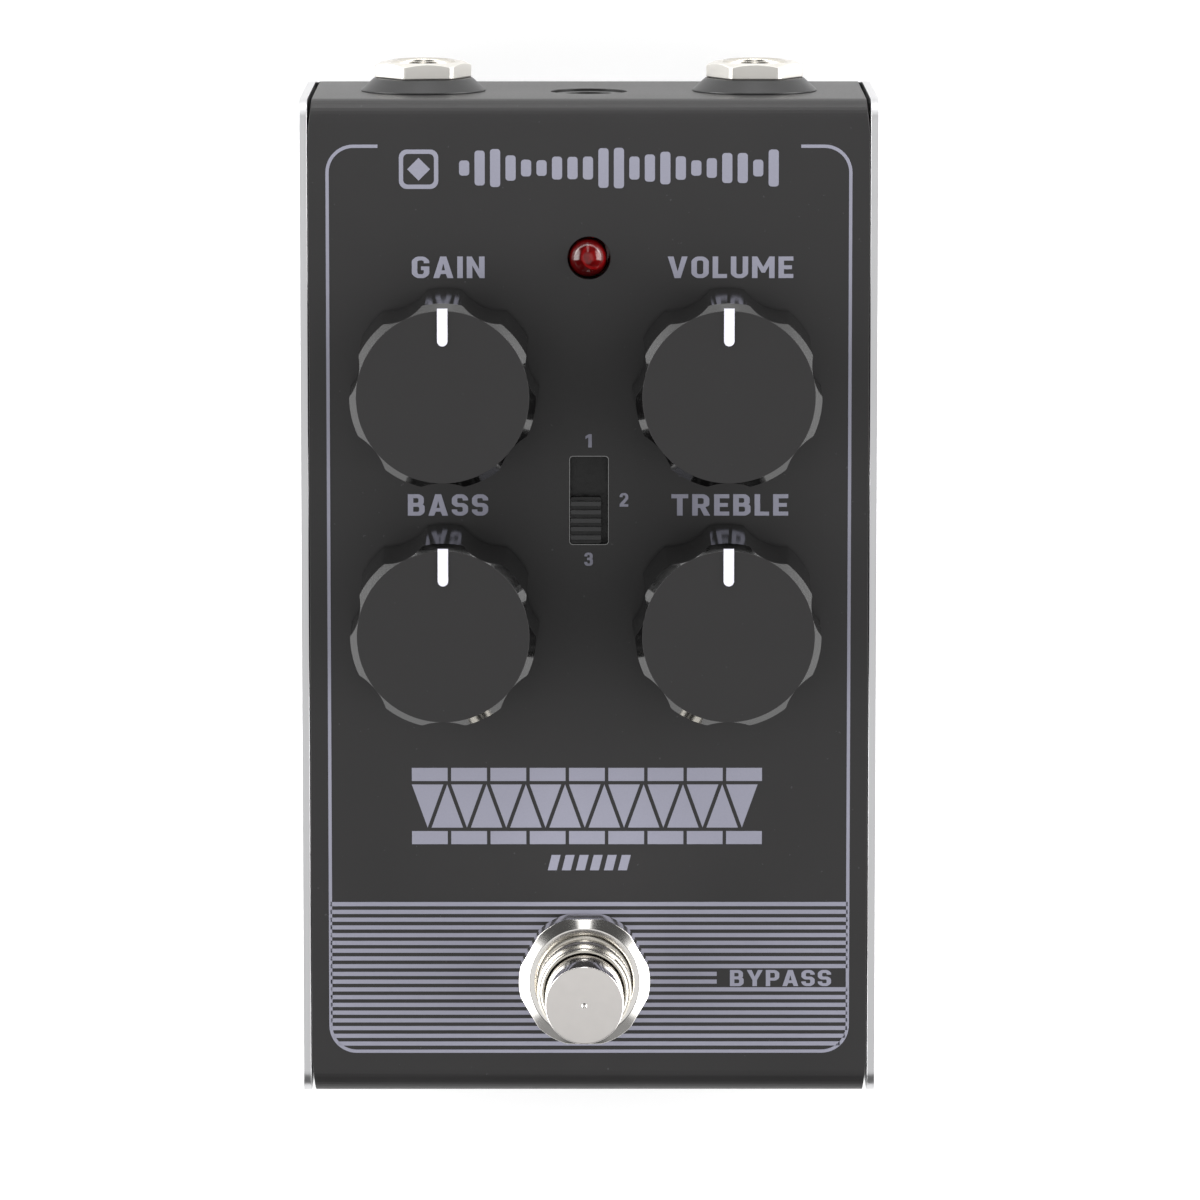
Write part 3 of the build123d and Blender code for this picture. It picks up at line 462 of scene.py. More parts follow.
PAINT = SatinPaint("satin_black_paint", (0.0138, 0.013, 0.0134), 0.4)
INK = PrintInk("pale_ink", (0.27, 0.27, 0.335), 0.55)
SHEET_METAL = Metal("brushed_sheet", (0.68, 0.68, 0.69), 0.28, lay=Lay.ALONG_Y, mark=0.14)
NICKEL = Metal("nickel_plate", (0.83, 0.81, 0.78), 0.13, mark=0.05)
THREAD_NICKEL = Metal("thread_nickel", (0.62, 0.59, 0.53), 0.22, mark=0.12)
JACK_NICKEL = Metal("jack_nickel", (0.74, 0.72, 0.68), 0.38, lay=Lay.NONE, mark=0.2, depth=0.02 * MM)
TINNED = Metal("tinned_steel", (0.7, 0.7, 0.7), 0.35, mark=0.15)
# Light metal of the slot's hairline ring: a painted highlight of the slot's rim.
SLOT_RIM_HIGHLIGHT_METAL = Metal("slot_rim_painted_highlight", (0.3, 0.3, 0.3), 0.4, mark=0.1)
SPRING_WIRE = Metal("spring_wire", (0.5, 0.49, 0.47), 0.28, mark=0.1)
BRASS = Metal("contact_brass", (0.72, 0.52, 0.26), 0.3, mark=0.12)
SHAFT_STEEL = Metal("shaft_metal", (0.72, 0.72, 0.73), 0.3, lay=Lay.ALONG_Z, mark=0.12)
CAN_METAL = Metal("control_can", (0.62, 0.63, 0.64), 0.38, lay=Lay.ALONG_Y, mark=0.15)
SCREW_BLACK = Metal("black_screw", (0.035, 0.034, 0.034), 0.35, mark=0.15)
RUBBER = Rubber("foot_rubber", (0.018, 0.018, 0.018), 0.75)
MASK_GREEN = BoardLaminate("board_green", (0.008, 0.05, 0.02), 0.3)
SWITCH_BLACK = Plastic("switch_black", (0.02, 0.02, 0.021), 0.38)
LEVER_GREY = Plastic("lever_grey", (0.032, 0.032, 0.033), 0.4)
SWITCH_BLUE = Plastic("switch_blue", (0.02, 0.07, 0.3), 0.35)
SOCKET_WHITE = Plastic("socket_white", (0.7, 0.69, 0.64), 0.4)
RIBBON_GREY = Plastic("ribbon_grey", (0.4, 0.4, 0.41), 0.5)
# The dust shield's near-black plastic, also given to the lever's base as painted shade between its ribs.
SHIELD_AND_LEVER_SHADE = Plastic("shield_black_and_lever_shade", (0.004, 0.004, 0.004), 0.42, texture=0.9 * MM, depth=0.12 * MM)
MOULDED_BLACK = Plastic("moulded_black", (0.017, 0.017, 0.0175), 0.36)
SLEEVE_BLUE = Plastic("capacitor_sleeve", (0.015, 0.02, 0.05), 0.3)
FILM_RED = Plastic("film_red", (0.35, 0.02, 0.015), 0.35)
CHIP_BLACK = Plastic("chip_black", (0.02, 0.02, 0.02), 0.55)
POINTER_WHITE = Plastic("pointer_white", (0.8, 0.79, 0.9), 0.3, depth=0.001 * MM)
LAMP_RED = LampPlastic("lamp_red", (0.42, 0.006, 0.008), 0.05)


# ---------------------------------------------------------------- meshes
@dataclass(frozen=True)
class Span:
    """A CAD node's box at rest."""

    low: Vector
    high: Vector

    @classmethod
    def of(cls, node: str) -> "Span":
        """Return the box of the node with that name."""
        return cls(*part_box(node))

    @property
    def mid(self) -> Vector:
        """The middle of the box."""
        return (self.low + self.high) / 2

    @property
    def size(self) -> Vector:
        """The box's three sizes."""
        return self.high - self.low


def cleaned(mesh: bpy.types.Mesh) -> bpy.types.Mesh:
    """Merge a mesh's doubles and turn its faces outward.

    Args:
        mesh: A mesh of closed shells.

    Returns:
        The same mesh.
    """
    work = bmesh.new()
    work.from_mesh(mesh)
    bmesh.ops.remove_doubles(work, verts=work.verts, dist=0.0005 * MM)
    bmesh.ops.dissolve_degenerate(work, dist=0.0002 * MM, edges=work.edges)
    bmesh.ops.recalc_face_normals(work, faces=work.faces)
    work.to_mesh(mesh)
    work.free()
    return mesh


def raw_mesh(points: np.ndarray | Sequence, faces: Sequence[Sequence[int]]) -> bpy.types.Mesh:
    """Return a clean mesh from points in metres and faces."""
    mesh = bpy.data.meshes.new("made")
    mesh.from_pydata([tuple(map(float, point)) for point in points], [], [list(face) for face in faces])
    return cleaned(mesh)


def spun(rings: Sequence[tuple[float | np.ndarray, float | np.ndarray]], steps: int) -> bpy.types.Mesh:
    """Return a solid of rings about +Z, each ring joined to the next.

    Args:
        rings: The radius and height of each ring, either of them one number or one per step;
            where the first and last ring aren't on the axis, they are joined too.
        steps: How many points a ring has.
    """
    turn = np.arange(steps) * 2 * math.pi / steps
    points, faces = [], []
    for radius, height in rings:
        r = np.broadcast_to(np.asarray(radius, float), steps)
        z = np.broadcast_to(np.asarray(height, float), steps)
        points.append(np.stack([r * np.cos(turn), r * np.sin(turn), z], 1))
    on_axis = [bool(np.max(radius) < 1e-9) for radius, _ in (rings[0], rings[-1])]
    count = len(rings)
    for k in range(count - 1 if all(on_axis) else count):
        for i in range(steps):
            j = (i + 1) % steps
            n = (k + 1) % count
            faces.append((k * steps + i, k * steps + j, n * steps + j, n * steps + i))
    return raw_mesh(np.concatenate(points), faces)


def slab(outline: Outline, low: float, high: float, holes: Sequence[Outline] = ()) -> bpy.types.Mesh:
    """Return a flat plate with walls from low to high.

    Args:
        outline: Its outline in the XY plane.
        low: The height of its underside.
        high: The height of its top.
        holes: The outlines of its holes.
    """
    loops = [outline, *holes]
    flat = [(x, y) for loop in loops for x, y in loop]
    count = len(flat)
    points = [(x, y, z) for z in (low, high) for x, y in flat]
    fills = tessellate_polygon([[Vector((x, y, 0)) / MM for x, y in loop] for loop in loops])
    faces = [tuple(fill) for fill in fills] + [tuple(count + i for i in fill) for fill in fills]
    start = 0
    for loop in loops:
        size = len(loop)
        for i in range(size):
            a, b = start + i, start + (i + 1) % size
            faces.append((a, b, count + b, count + a))
        start += size
    return raw_mesh(points, faces)


def round_box(width: float, length: float, corner: float, steps: int = 8) -> Outline:
    """Return a rectangle's outline with round corners, centred, counter-clockwise."""
    outline = []
    for quarter in range(4):
        side_x = 1 if quarter in (0, 3) else -1
        side_y = 1 if quarter in (0, 1) else -1
        for step in range(steps + 1):
            angle = (quarter + step / steps) * math.pi / 2
            outline.append(
                (
                    side_x * (width / 2 - corner) + corner * math.cos(angle),
                    side_y * (length / 2 - corner) + corner * math.sin(angle),
                )
            )
    return outline


def joined(meshes: Sequence[bpy.types.Mesh]) -> bpy.types.Mesh:
    """Return one mesh that holds several, and drop those."""
    work = bmesh.new()
    for mesh in meshes:
        work.from_mesh(mesh)
        bpy.data.meshes.remove(mesh)
    result = bpy.data.meshes.new("joined")
    work.to_mesh(result)
    work.free()
    return result


def moved(mesh: bpy.types.Mesh, where: Vector | tuple, turn: Matrix | None = None) -> bpy.types.Mesh:
    """Turn a mesh about the origin if asked, then move it."""
    if turn is not None:
        mesh.transform(turn)
    mesh.transform(Matrix.Translation(Vector(where)))
    return mesh


def node_copy(node: str, crease: float = 0.6) -> bpy.types.Mesh:
    """Return a copy of a CAD node's mesh as clean faces, ready for softened edges.

    Args:
        node: The CAD node's name.
        crease: The angle in degrees up to which neighbouring faces count as one.
    """
    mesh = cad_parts[node].data.copy()
    work = bmesh.new()
    work.from_mesh(mesh)
    bmesh.ops.remove_doubles(work, verts=work.verts, dist=0.0008 * MM)
    bmesh.ops.dissolve_limit(
        work, angle_limit=math.radians(crease), verts=work.verts, edges=work.edges
    )
    work.to_mesh(mesh)
    work.free()
    return mesh


def hexagon(flats: float, steps: int, turn: float = 0.0) -> np.ndarray:
    """Return a hexagon's radius at each step round it, with a flat towards turn."""
    angle = np.arange(steps) * 2 * math.pi / steps - turn
    sector = math.pi / 3
    return flats / 2 / np.cos((angle + sector / 2) % sector - sector / 2)


@dataclass(frozen=True)
class NutShape:
    """A hexagon nut's sizes; its corners are turned to corner_radius and its top falls away at slope."""

    flats: float
    hole: float
    corner_radius: float
    rim: float
    slope: float = 30.0
    lead: float = 0.3 * MM

    def mesh(self, height: float, turn: float, steps: int = 180) -> bpy.types.Mesh:
        """Return the nut from z 0 up.

        Args:
            height: The nut's height.
            turn: The direction of one flat, in radians.
            steps: How many points go round it.
        """
        side = np.minimum(hexagon(self.flats, steps, turn), self.corner_radius)
        fall = np.maximum(side - self.rim, 0.0) * math.tan(math.radians(self.slope))
        foot = side - 0.15 * MM
        return spun(
            [
                (self.hole, self.lead),
                (self.hole + self.lead, 0.0),
                (foot, 0.0),
                (side, 0.15 * MM),
                (side, height - fall),
                (np.minimum(side, self.rim), height),
                (self.hole + self.lead, height),
                (self.hole, height - self.lead),
            ],
            steps,
        )


# ---------------------------------------------------------------- geometry trees
class Tree:
    """A geometry node group with named inputs, run once to a plain mesh."""

    def __init__(self, name: str, inputs: dict[str, str]) -> None:
        """Start a group.

        Args:
            name: The group's name.
            inputs: The socket type of each input, by name.
        """
        self.group = bpy.data.node_groups.new(name, "GeometryNodeTree")
        face = self.group.interface
        self.keys = {
            key: face.new_socket(key, in_out="INPUT", socket_type=kind).identifier
            for key, kind in {
                "Geometry": "NodeSocketGeometry",
                **inputs,
                "Finish": "NodeSocketMaterial",
            }.items()
        }
        face.new_socket("Geometry", in_out="OUTPUT", socket_type="NodeSocketGeometry")
        self.graph = Graph(self.group)
        self.given = self.graph.node("NodeGroupInput").outputs

    def number(self, name: str) -> Num:
        """Return one of the inputs as a number."""
        return Num(self.graph, self.given[name])

    def end(self, geometry: bpy.types.NodeSocket) -> None:
        """Close the group: make instances real, set the finish, and put it out."""
        real = self.graph.node("GeometryNodeRealizeInstances", inputs={0: geometry})
        dressed = self.graph.node(
            "GeometryNodeSetMaterial", inputs={"Geometry": real.outputs[0], "Material": self.given["Finish"]}
        )
        self.graph.node("NodeGroupOutput", inputs={0: dressed.outputs[0]})

    def run(self, finish: Finish, start: bpy.types.Mesh | None = None, **values: Feed) -> bpy.types.Mesh:
        """Return the group's result as a plain mesh.

        Args:
            finish: The finish of the result.
            start: The mesh that the group starts from, if it needs one.
            **values: The inputs, by name with underscores for spaces.
        """
        mesh = start or bpy.data.meshes.new("seed")
        holder = bpy.data.objects.new("holder", mesh)
        bpy.context.scene.collection.objects.link(holder)
        modifier = holder.modifiers.new("tree", "NODES")
        modifier.node_group = self.group
        for name, value in {"Finish": finish.material(), **values}.items():
            modifier[self.keys[name.replace("_", " ")]] = value
        graph = bpy.context.evaluated_depsgraph_get()
        result = bpy.data.meshes.new_from_object(holder.evaluated_get(graph), depsgraph=graph)
        holder.modifiers.remove(modifier)
        bpy.data.objects.remove(holder)
        bpy.data.meshes.remove(mesh)
        return result


FLOAT = "NodeSocketFloat"
INT = "NodeSocketInt"
VECTOR = "NodeSocketVector"


def grid_tree() -> Tree:
    """Return a group that sets copies of its own geometry on a flat grid."""
    tree = Tree(
        "copies_on_a_grid",
        {"Columns": INT, "Rows": INT, "Width": FLOAT, "Length": FLOAT, "Centre": VECTOR},
    )
    points = tree.graph.node(
        "GeometryNodeMeshGrid",
        inputs={
            "Size X": tree.given["Width"],
            "Size Y": tree.given["Length"],
            "Vertices X": tree.given["Columns"],
            "Vertices Y": tree.given["Rows"],
        },
    )
    shifted = tree.graph.node(
        "GeometryNodeTransform",
        inputs={"Geometry": points.outputs["Mesh"], "Translation": tree.given["Centre"]},
    )
    copies = tree.graph.node(
        "GeometryNodeInstanceOnPoints",
        inputs={"Points": shifted.outputs[0], "Instance": tree.given["Geometry"]},
    )
    tree.end(copies.outputs[0])
    return tree


def coil_tree() -> Tree:
    """Return a group that winds a wire or a thread's crest about +Z from z 0 up."""
    tree = Tree(
        "coil",
        {"Turns": FLOAT, "Radius": FLOAT, "Rise": FLOAT, "Wire": FLOAT, "Sides": INT, "Steps": INT},
    )
    line = tree.graph.node(
        "GeometryNodeCurveSpiral",
        inputs={
            "Resolution": tree.given["Steps"],
            "Rotations": tree.given["Turns"],
            "Start Radius": tree.given["Radius"],
            "End Radius": tree.given["Radius"],
            "Height": tree.given["Rise"],
        },
    )
    section = tree.graph.node(
        "GeometryNodeCurvePrimitiveCircle",
        {"mode": "RADIUS"},
        {"Resolution": tree.given["Sides"], "Radius": tree.given["Wire"]},
    )
    wire = tree.graph.node(
        "GeometryNodeCurveToMesh",
        inputs={0: line.outputs[0], "Profile Curve": section.outputs[0], "Fill Caps": True},
    )
    tree.end(wire.outputs[0])
    return tree


def stripe_tree() -> Tree:
    """Return a group that rules lines across the face, cut to the frame line's round corners."""
    tree = Tree(
        "ruled_lines",
        {
            "Count": INT,
            "First": VECTOR,
            "Pitch": FLOAT,
            "Thickness": FLOAT,
            "Ink": FLOAT,
            "Left": FLOAT,
            "Right": FLOAT,
            "Half Width": FLOAT,
            "Corner": FLOAT,
            "Last Y": FLOAT,
            "Skip From": INT,
            "Skip To": INT,
        },
    )
    graph, given = tree.graph, tree.given
    step = graph.node("ShaderNodeCombineXYZ", inputs={"Y": tree.number("Pitch") * -1.0})
    line = graph.node(
        "GeometryNodeMeshLine",
        {"mode": "OFFSET"},
        {"Count": given["Count"], "Start Location": given["First"], "Offset": step.outputs[0]},
    )
    _, y, z = graph.split(graph.node("GeometryNodeInputPosition").outputs[0])
    below = (tree.number("Last Y") + tree.number("Corner") - y).most(0.0)
    arc = graph.math("SQRT", (tree.number("Corner") ** 2.0 - below * below).most(0.0))
    reach = tree.number("Half Width") - tree.number("Corner") + arc
    left = tree.number("Left").most(reach * -1.0)
    right = tree.number("Right").least(reach)
    spot = graph.node("ShaderNodeCombineXYZ", inputs={"X": (left + right) * 0.5, "Y": y, "Z": z})
    placed = graph.node(
        "GeometryNodeSetPosition", inputs={"Geometry": line.outputs[0], "Position": spot.outputs[0]}
    )
    index = Num(graph, graph.node("GeometryNodeInputIndex").outputs[0])
    skipped = index.over(tree.number("Skip From") - 0.5) - index.over(tree.number("Skip To") + 0.5)
    capture = graph.node(
        "GeometryNodeCaptureAttribute", {"domain": "POINT"}, {"Geometry": placed.outputs[0]}
    )
    capture.capture_items.new("FLOAT", "Length")
    graph.feed(capture.inputs[1], right - left)
    size = graph.node(
        "ShaderNodeCombineXYZ",
        inputs={"X": Num(graph, capture.outputs[1]), "Y": given["Thickness"], "Z": given["Ink"]},
    )
    bar = graph.node("GeometryNodeMeshCube", inputs={"Size": (1.0, 1.0, 1.0)})
    bars = graph.node(
        "GeometryNodeInstanceOnPoints",
        inputs={
            "Points": capture.outputs[0],
            "Selection": 1.0 - skipped,
            "Instance": bar.outputs["Mesh"],
            "Scale": size.outputs[0],
        },
    )
    tree.end(bars.outputs[0])
    return tree


def knob_tree(lobes: int) -> Tree:
    """Return a group that shapes a lobed knob about +Z, hollow under its roof.

    Args:
        lobes: How many lobes go round it.
    """
    lengths = (
        "Foot Radius",
        "Shoulder Radius",
        "Top Radius",
        "Scallop",
        "Pocket",
        "Hub",
        "Bore",
        "Bottom",
        "Shoulder Height",
        "Top",
        "Roof",
        "Hub Bottom",
        "Bore Top",
    )
    tree = Tree("lobed_knob", {"Steps": INT, **{name: FLOAT for name in lengths}})
    graph, get = tree.graph, tree.number
    rows = 11
    sheet = graph.node(
        "GeometryNodeMeshGrid",
        inputs={
            "Size X": 2 * math.pi,
            "Size Y": float(rows - 1),
            "Vertices X": tree.given["Steps"],
            "Vertices Y": rows,
        },
    )
    across, along, _ = graph.split(graph.node("GeometryNodeInputPosition").outputs[0])
    row = graph.math("ROUND", along + (rows - 1) / 2)
    pitch = 2 * math.pi / lobes
    local = graph.math("FLOORED_MODULO", across - math.pi / 2, pitch) - pitch / 2
    centre = get("Top Radius") + get("Scallop")
    offset = centre * graph.math("SINE", local)
    chord = get("Scallop") ** 2.0 - offset * offset
    hollow = centre * graph.math("COSINE", local) - graph.math("SQRT", chord.most(0.0))
    cut = hollow + (0.0 - chord).over(0.0)
    foot = get("Foot Radius").least(cut)
    shoulder = get("Shoulder Radius").least(cut)
    slope = (get("Top") - get("Shoulder Height")) / (get("Shoulder Radius") - get("Top Radius"))
    rise = get("Shoulder Height") + (get("Shoulder Radius") - shoulder) * slope
    zero = get("Top") * 0.0
    radii = [zero, get("Bore"), get("Bore"), get("Hub"), get("Hub"), get("Pocket"), get("Pocket")]
    radii += [foot, shoulder, get("Top Radius"), zero]
    heights = [get("Bore Top"), get("Bore Top"), get("Hub Bottom"), get("Hub Bottom"), get("Roof")]
    heights += [get("Roof"), get("Bottom"), get("Bottom"), rise, get("Top"), get("Top")]

    def chosen(items: list[Num]) -> Num:
        """Return the item whose place in the list is the row."""
        made = graph.node("GeometryNodeIndexSwitch", {"data_type": "FLOAT"})
        while len(made.index_switch_items) < len(items):
            made.index_switch_items.new()
        graph.feed(made.inputs["Index"], row)
        for place, item in enumerate(items):
            graph.feed(made.inputs[place + 1], item)
        return Num(graph, made.outputs[0])

    radius = chosen(radii)
    spot = graph.node(
        "ShaderNodeCombineXYZ",
        inputs={
            "X": radius * graph.math("COSINE", across),
            "Y": radius * graph.math("SINE", across),
            "Z": chosen(heights),
        },
    )
    shaped = graph.node(
        "GeometryNodeSetPosition", inputs={"Geometry": sheet.outputs["Mesh"], "Position": spot.outputs[0]}
    )
    closed = graph.node(
        "GeometryNodeMergeByDistance", inputs={"Geometry": shaped.outputs[0], "Distance": 0.0005 * MM}
    )
    tree.end(closed.outputs[0])
    return tree


# ---------------------------------------------------------------- pieces
@dataclass
class Edge:
    """A softened edge: its width and how many steps round it."""

    width: float
    segments: int = 2
    angle: float = 30.0


def add_piece(
    name: str,
    mesh: bpy.types.Mesh,
    finish: Finish,
    body: str,
    stands_for: Sequence[str] = (),
    edge: Edge | None = None,
    smooth: float = 32.0,
) -> bpy.types.Object:
    """Link a mesh as a piece of the pedal.

    Args:
        name: The piece's name.
        mesh: Its mesh, in place.
        finish: Its finish.
        body: The CAD body that it moves with.
        stands_for: The CAD nodes that it replaces.
        edge: How its sharp edges are softened, if they are.
        smooth: The angle in degrees up to which neighbouring faces shade as one.

    Returns:
        The piece.
    """
    mesh.name = name
    mesh.materials.clear()
    mesh.materials.append(finish.material())
    mesh.polygons.foreach_set("material_index", [0] * len(mesh.polygons))
    mesh.shade_smooth()
    mesh.set_sharp_from_angle(angle=math.radians(smooth))
    piece = bpy.data.objects.new(name, mesh)
    bpy.context.scene.collection.objects.link(piece)
    if edge is not None:
        bevel = piece.modifiers.new("edge", "BEVEL")
        bevel.width = edge.width
        bevel.segments = edge.segments
        bevel.limit_method = "ANGLE"
        bevel.angle_limit = math.radians(edge.angle)
        bevel.harden_normals = True
    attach(piece, body)
    if stands_for:
        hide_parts(*stands_for)
    LOG.info("%s: %d faces on %s", name, len(mesh.polygons), body)
    return piece


@dataclass
class Case:
    """The folded cover, the bare tray, its screws and feet."""

    cover_edge: float = 0.12 * MM
    tray_edge: float = 0.18 * MM
    socket_flats: float = 2.0 * MM

    def build(self) -> None:
        """Make every piece of the case."""
        add_piece(
            "cover_shell", node_copy("top_cover"), PAINT, "case", ["top_cover"],
            Edge(self.cover_edge, 2, 50.0),
        )
        add_piece(
            "tray_shell", node_copy("bottom_tray"), SHEET_METAL, "case", ["bottom_tray"],
            Edge(self.tray_edge, 3, 50.0),
        )
        self.screws()
        self.feet()

    def screws(self) -> None:
        """Four button-head screws with hexagon sockets."""
        span = Span.of("case_screws")
        head = 2.8 * MM
        top = 1.5 * MM
        steps = 72
        socket = hexagon(self.socket_flats, steps)
        floor = -(top - 1.05 * MM)
        dome = [
            (head * math.sin(a), -(0.45 * MM + (top - 0.45 * MM) * math.cos(a)))
            for a in np.linspace(math.radians(28), math.pi / 2, 9)
        ]
        one = spun(
            [
                (0.0, floor),
                (socket, floor),
                (socket, -top),
                *dome,
                (head, 0.0),
                (1.45 * MM, 0.0),
                (1.45 * MM, 4.6 * MM),
                (1.1 * MM, 5.0 * MM),
                (0.0, 5.0 * MM),
            ],
            steps,
        )
        spread = span.size - Vector((2 * head, 2 * head, 0))
        tree = grid_tree()
        mesh = tree.run(
            SCREW_BLACK, one, Columns=2, Rows=2, Width=spread.x, Length=spread.y,
            Centre=(span.mid.x, span.mid.y, span.low.z + top),
        )
        add_piece("case_button_screws", mesh, SCREW_BLACK, "case", ["case_screws"])

    def feet(self) -> None:
        """Four round rubber feet, softly domed."""
        span = Span.of("rubber_feet")
        radius = 6.0 * MM
        height = span.size.z
        soft = 0.6 * MM
        curve = [
            (radius - soft + soft * math.sin(a), soft - soft * math.cos(a))
            for a in np.linspace(0, math.pi / 2, 7)
        ]
        one = spun(
            [
                (0.0, 0.1 * MM),
                (radius * 0.55, 0.04 * MM),
                (radius * 0.72, 0.0),
                *curve,
                (radius, height),
                (0.0, height),
            ],
            64,
        )
        spread = span.size - Vector((2 * radius, 2 * radius, 0))
        mesh = grid_tree().run(
            RUBBER, one, Columns=2, Rows=2, Width=spread.x, Length=spread.y,
            Centre=(span.mid.x, span.mid.y, span.low.z),
        )
        add_piece("stick_on_feet", mesh, RUBBER, "case", ["rubber_feet"])


@dataclass
class Knob:
    """One lobed knob with its pointer bar."""

    control: str
    lobes: int = 7
    foot_radius: float = 12.0 * MM
    shoulder_radius: float = 11.68 * MM
    top_radius: float = 10.8 * MM
    scallop: float = 6.5 * MM
    bevel_height: float = 1.0 * MM
    pocket: float = 9.6 * MM
    hub: float = 5.2 * MM
    bore: float = 3.02 * MM
    roof: float = 3.0 * MM
    hub_bottom: float = 4.2 * MM
    bore_depth: float = 4.5 * MM
    edge: float = 0.14 * MM

    def build(self, tree: Tree) -> None:
        """Make the knob and its pointer.

        Args:
            tree: The group that shapes a lobed knob.
        """
        span = Span.of(f"knob_{self.control}")
        centre = Vector((span.mid.x, Span.of(f"shaft_{self.control}").mid.y, 0))
        finish = KnobPlastic("knob_black", (0.0098, 0.0094, 0.0096), 0.1, top=span.high.z)
        mesh = tree.run(
            finish,
            Steps=self.lobes * 48 + 1,
            Foot_Radius=self.foot_radius,
            Shoulder_Radius=self.shoulder_radius,
            Top_Radius=self.top_radius,
            Scallop=self.scallop,
            Pocket=self.pocket,
            Hub=self.hub,
            Bore=self.bore,
            Bottom=span.low.z,
            Shoulder_Height=span.high.z - self.bevel_height,
            Top=span.high.z,
            Roof=span.high.z - self.roof,
            Hub_Bottom=span.low.z + self.hub_bottom,
            Bore_Top=span.high.z - self.bore_depth,
        )
        add_piece(
            f"{self.control}_knob_cap", moved(cleaned(mesh), centre), finish, f"{self.control}_knob",
            [f"knob_{self.control}"], Edge(self.edge, 3, 24.0), 24.0,
        )
        bar = Span.of(f"pointer_{self.control}")
        half = bar.size.x / 2
        nose = [
            (half * math.cos(a), -bar.size.y / 2 + half + half * math.sin(a))
            for a in np.linspace(math.pi, 2 * math.pi, 17)
        ]
        outline = [*nose, (half, bar.size.y / 2), (-half, bar.size.y / 2)]
        pointer = moved(slab(outline, bar.low.z, bar.high.z), (bar.mid.x, bar.mid.y, 0))
        add_piece(
            f"{self.control}_pointer_bar", pointer, POINTER_WHITE, f"{self.control}_knob",
            [f"pointer_{self.control}"], Edge(0.12 * MM, 2),
        )


@dataclass
class SlideSwitch:
    """The slide switch's ribbed lever."""

    ribs: int = 5
    rib_pitch: float = 1.08 * MM
    rib_width: float = 0.55 * MM
    rib_height: float = 0.5 * MM

    def build(self) -> None:
        """Make the lever with its cross ribs; the lever's base gets a darker finish than its ribs, as painted
        shade between the ribs.
        """
        span = Span.of("slide_switch_lever")
        base = moved(
            slab(round_box(span.size.x, span.size.y, 0.25 * MM), span.low.z, span.high.z - self.rib_height),
            (span.mid.x, span.mid.y, 0),
        )
        half = self.rib_height + 0.1 * MM
        one = slab(round_box(span.size.x, self.rib_width, 0.12 * MM, 4), -half, 0.0)
        ribs = grid_tree().run(
            SWITCH_BLACK, one, Columns=1, Rows=self.ribs, Width=0.0,
            Length=self.rib_pitch * (self.ribs - 1), Centre=(span.mid.x, span.mid.y, span.high.z),
        )
        # Painted shade: the base between the ribs takes the near-black shield finish, darker than the ribs of
        # the same moulding.
        add_piece(
            "slide_lever", base, SHIELD_AND_LEVER_SHADE, "switch_lever",
            ["slide_switch_lever"], Edge(0.09 * MM, 2),
        )
        add_piece(
            "slide_lever_ribs", ribs, LEVER_GREY, "switch_lever", (), Edge(0.09 * MM, 2),
        )
        self.dust_shield(span)
        self.slot_edge()

    def slot_edge(self) -> None:
        """A hairline ring of light metal laid on the face round the slot: a painted highlight of the light
        caught on the slot's rim.
        """
        cover = Span.of("top_cover")
        wide, long, middle = 4.9 * MM, 11.3 * MM, 10.9 * MM
        hole = round_box(wide - 0.02 * MM, long - 0.02 * MM, 0.4 * MM)
        ring = round_box(wide + 0.12 * MM, long + 0.12 * MM, 0.45 * MM)
        # Painted highlight: a flat light ring on the face stands in for light caught on the slot's rim.
        mesh = slab(ring, cover.high.z - 0.01 * MM, cover.high.z + 0.02 * MM, [hole])
        add_piece("slot_rim_highlight_ring", moved(mesh, (0, middle, 0)), SLOT_RIM_HIGHLIGHT_METAL, "case")

    def dust_shield(self, span: Span) -> None:
        """The thin shield that goes with the lever and keeps the slot closed under the face."""
        slot_length = 11.3 * MM
        reach = slot_length - span.size.y + 0.3 * MM
        length = span.size.y + 2 * reach
        under = Span.of("top_cover").high.z - 1.2 * MM
        outline = round_box(6.6 * MM, length, 0.5 * MM)
        holes = [round_box(span.size.x - 0.1 * MM, span.size.y - 0.1 * MM, 0.2 * MM)]
        mesh = slab(outline, under - 0.75 * MM, under - 0.45 * MM, holes)
        add_piece(
            "slide_dust_shield", moved(mesh, (span.mid.x, span.mid.y, 0)), SHIELD_AND_LEVER_SHADE, "switch_lever",
        )


@dataclass
class Lamp:
    """The round lamp: a resin dome with the lead frame's cup inside."""

    collar: float = 2.9 * MM
    collar_height: float = 1.0 * MM
    radius: float = 2.45 * MM

    def build(self) -> None:
        """Make the dome and the cup."""
        span = Span.of("status_led")
        low, top = span.low.z, span.high.z
        dome = [
            (self.radius * math.cos(a), top - self.radius + self.radius * math.sin(a))
            for a in np.linspace(0, math.pi / 2, 15)[:-1]
        ]
        lens = spun(
            [
                (0.0, low),
                (self.collar, low),
                (self.collar, low + self.collar_height),
                (self.radius, low + self.collar_height),
                *dome,
                (0.0, top),
            ],
            72,
        )
        where = (span.mid.x, span.mid.y, 0)
        add_piece("lamp_lens", moved(lens, where), LAMP_RED, "case", ["status_led"])
        cup_top = top - 3.1 * MM
        cup = spun(
            [
                (0.0, cup_top - 0.35 * MM),
                (0.35 * MM, cup_top - 0.35 * MM),
                (0.75 * MM, cup_top),
                (0.95 * MM, cup_top),
                (0.8 * MM, cup_top - 1.0 * MM),
                (0.8 * MM, low + 0.3 * MM),
                (0.0, low + 0.3 * MM),
            ],
            32,
        )
        place = (span.mid.x + 0.45 * MM, span.mid.y, 0)
        add_piece("lamp_cup", moved(cup, place), TINNED, "case")


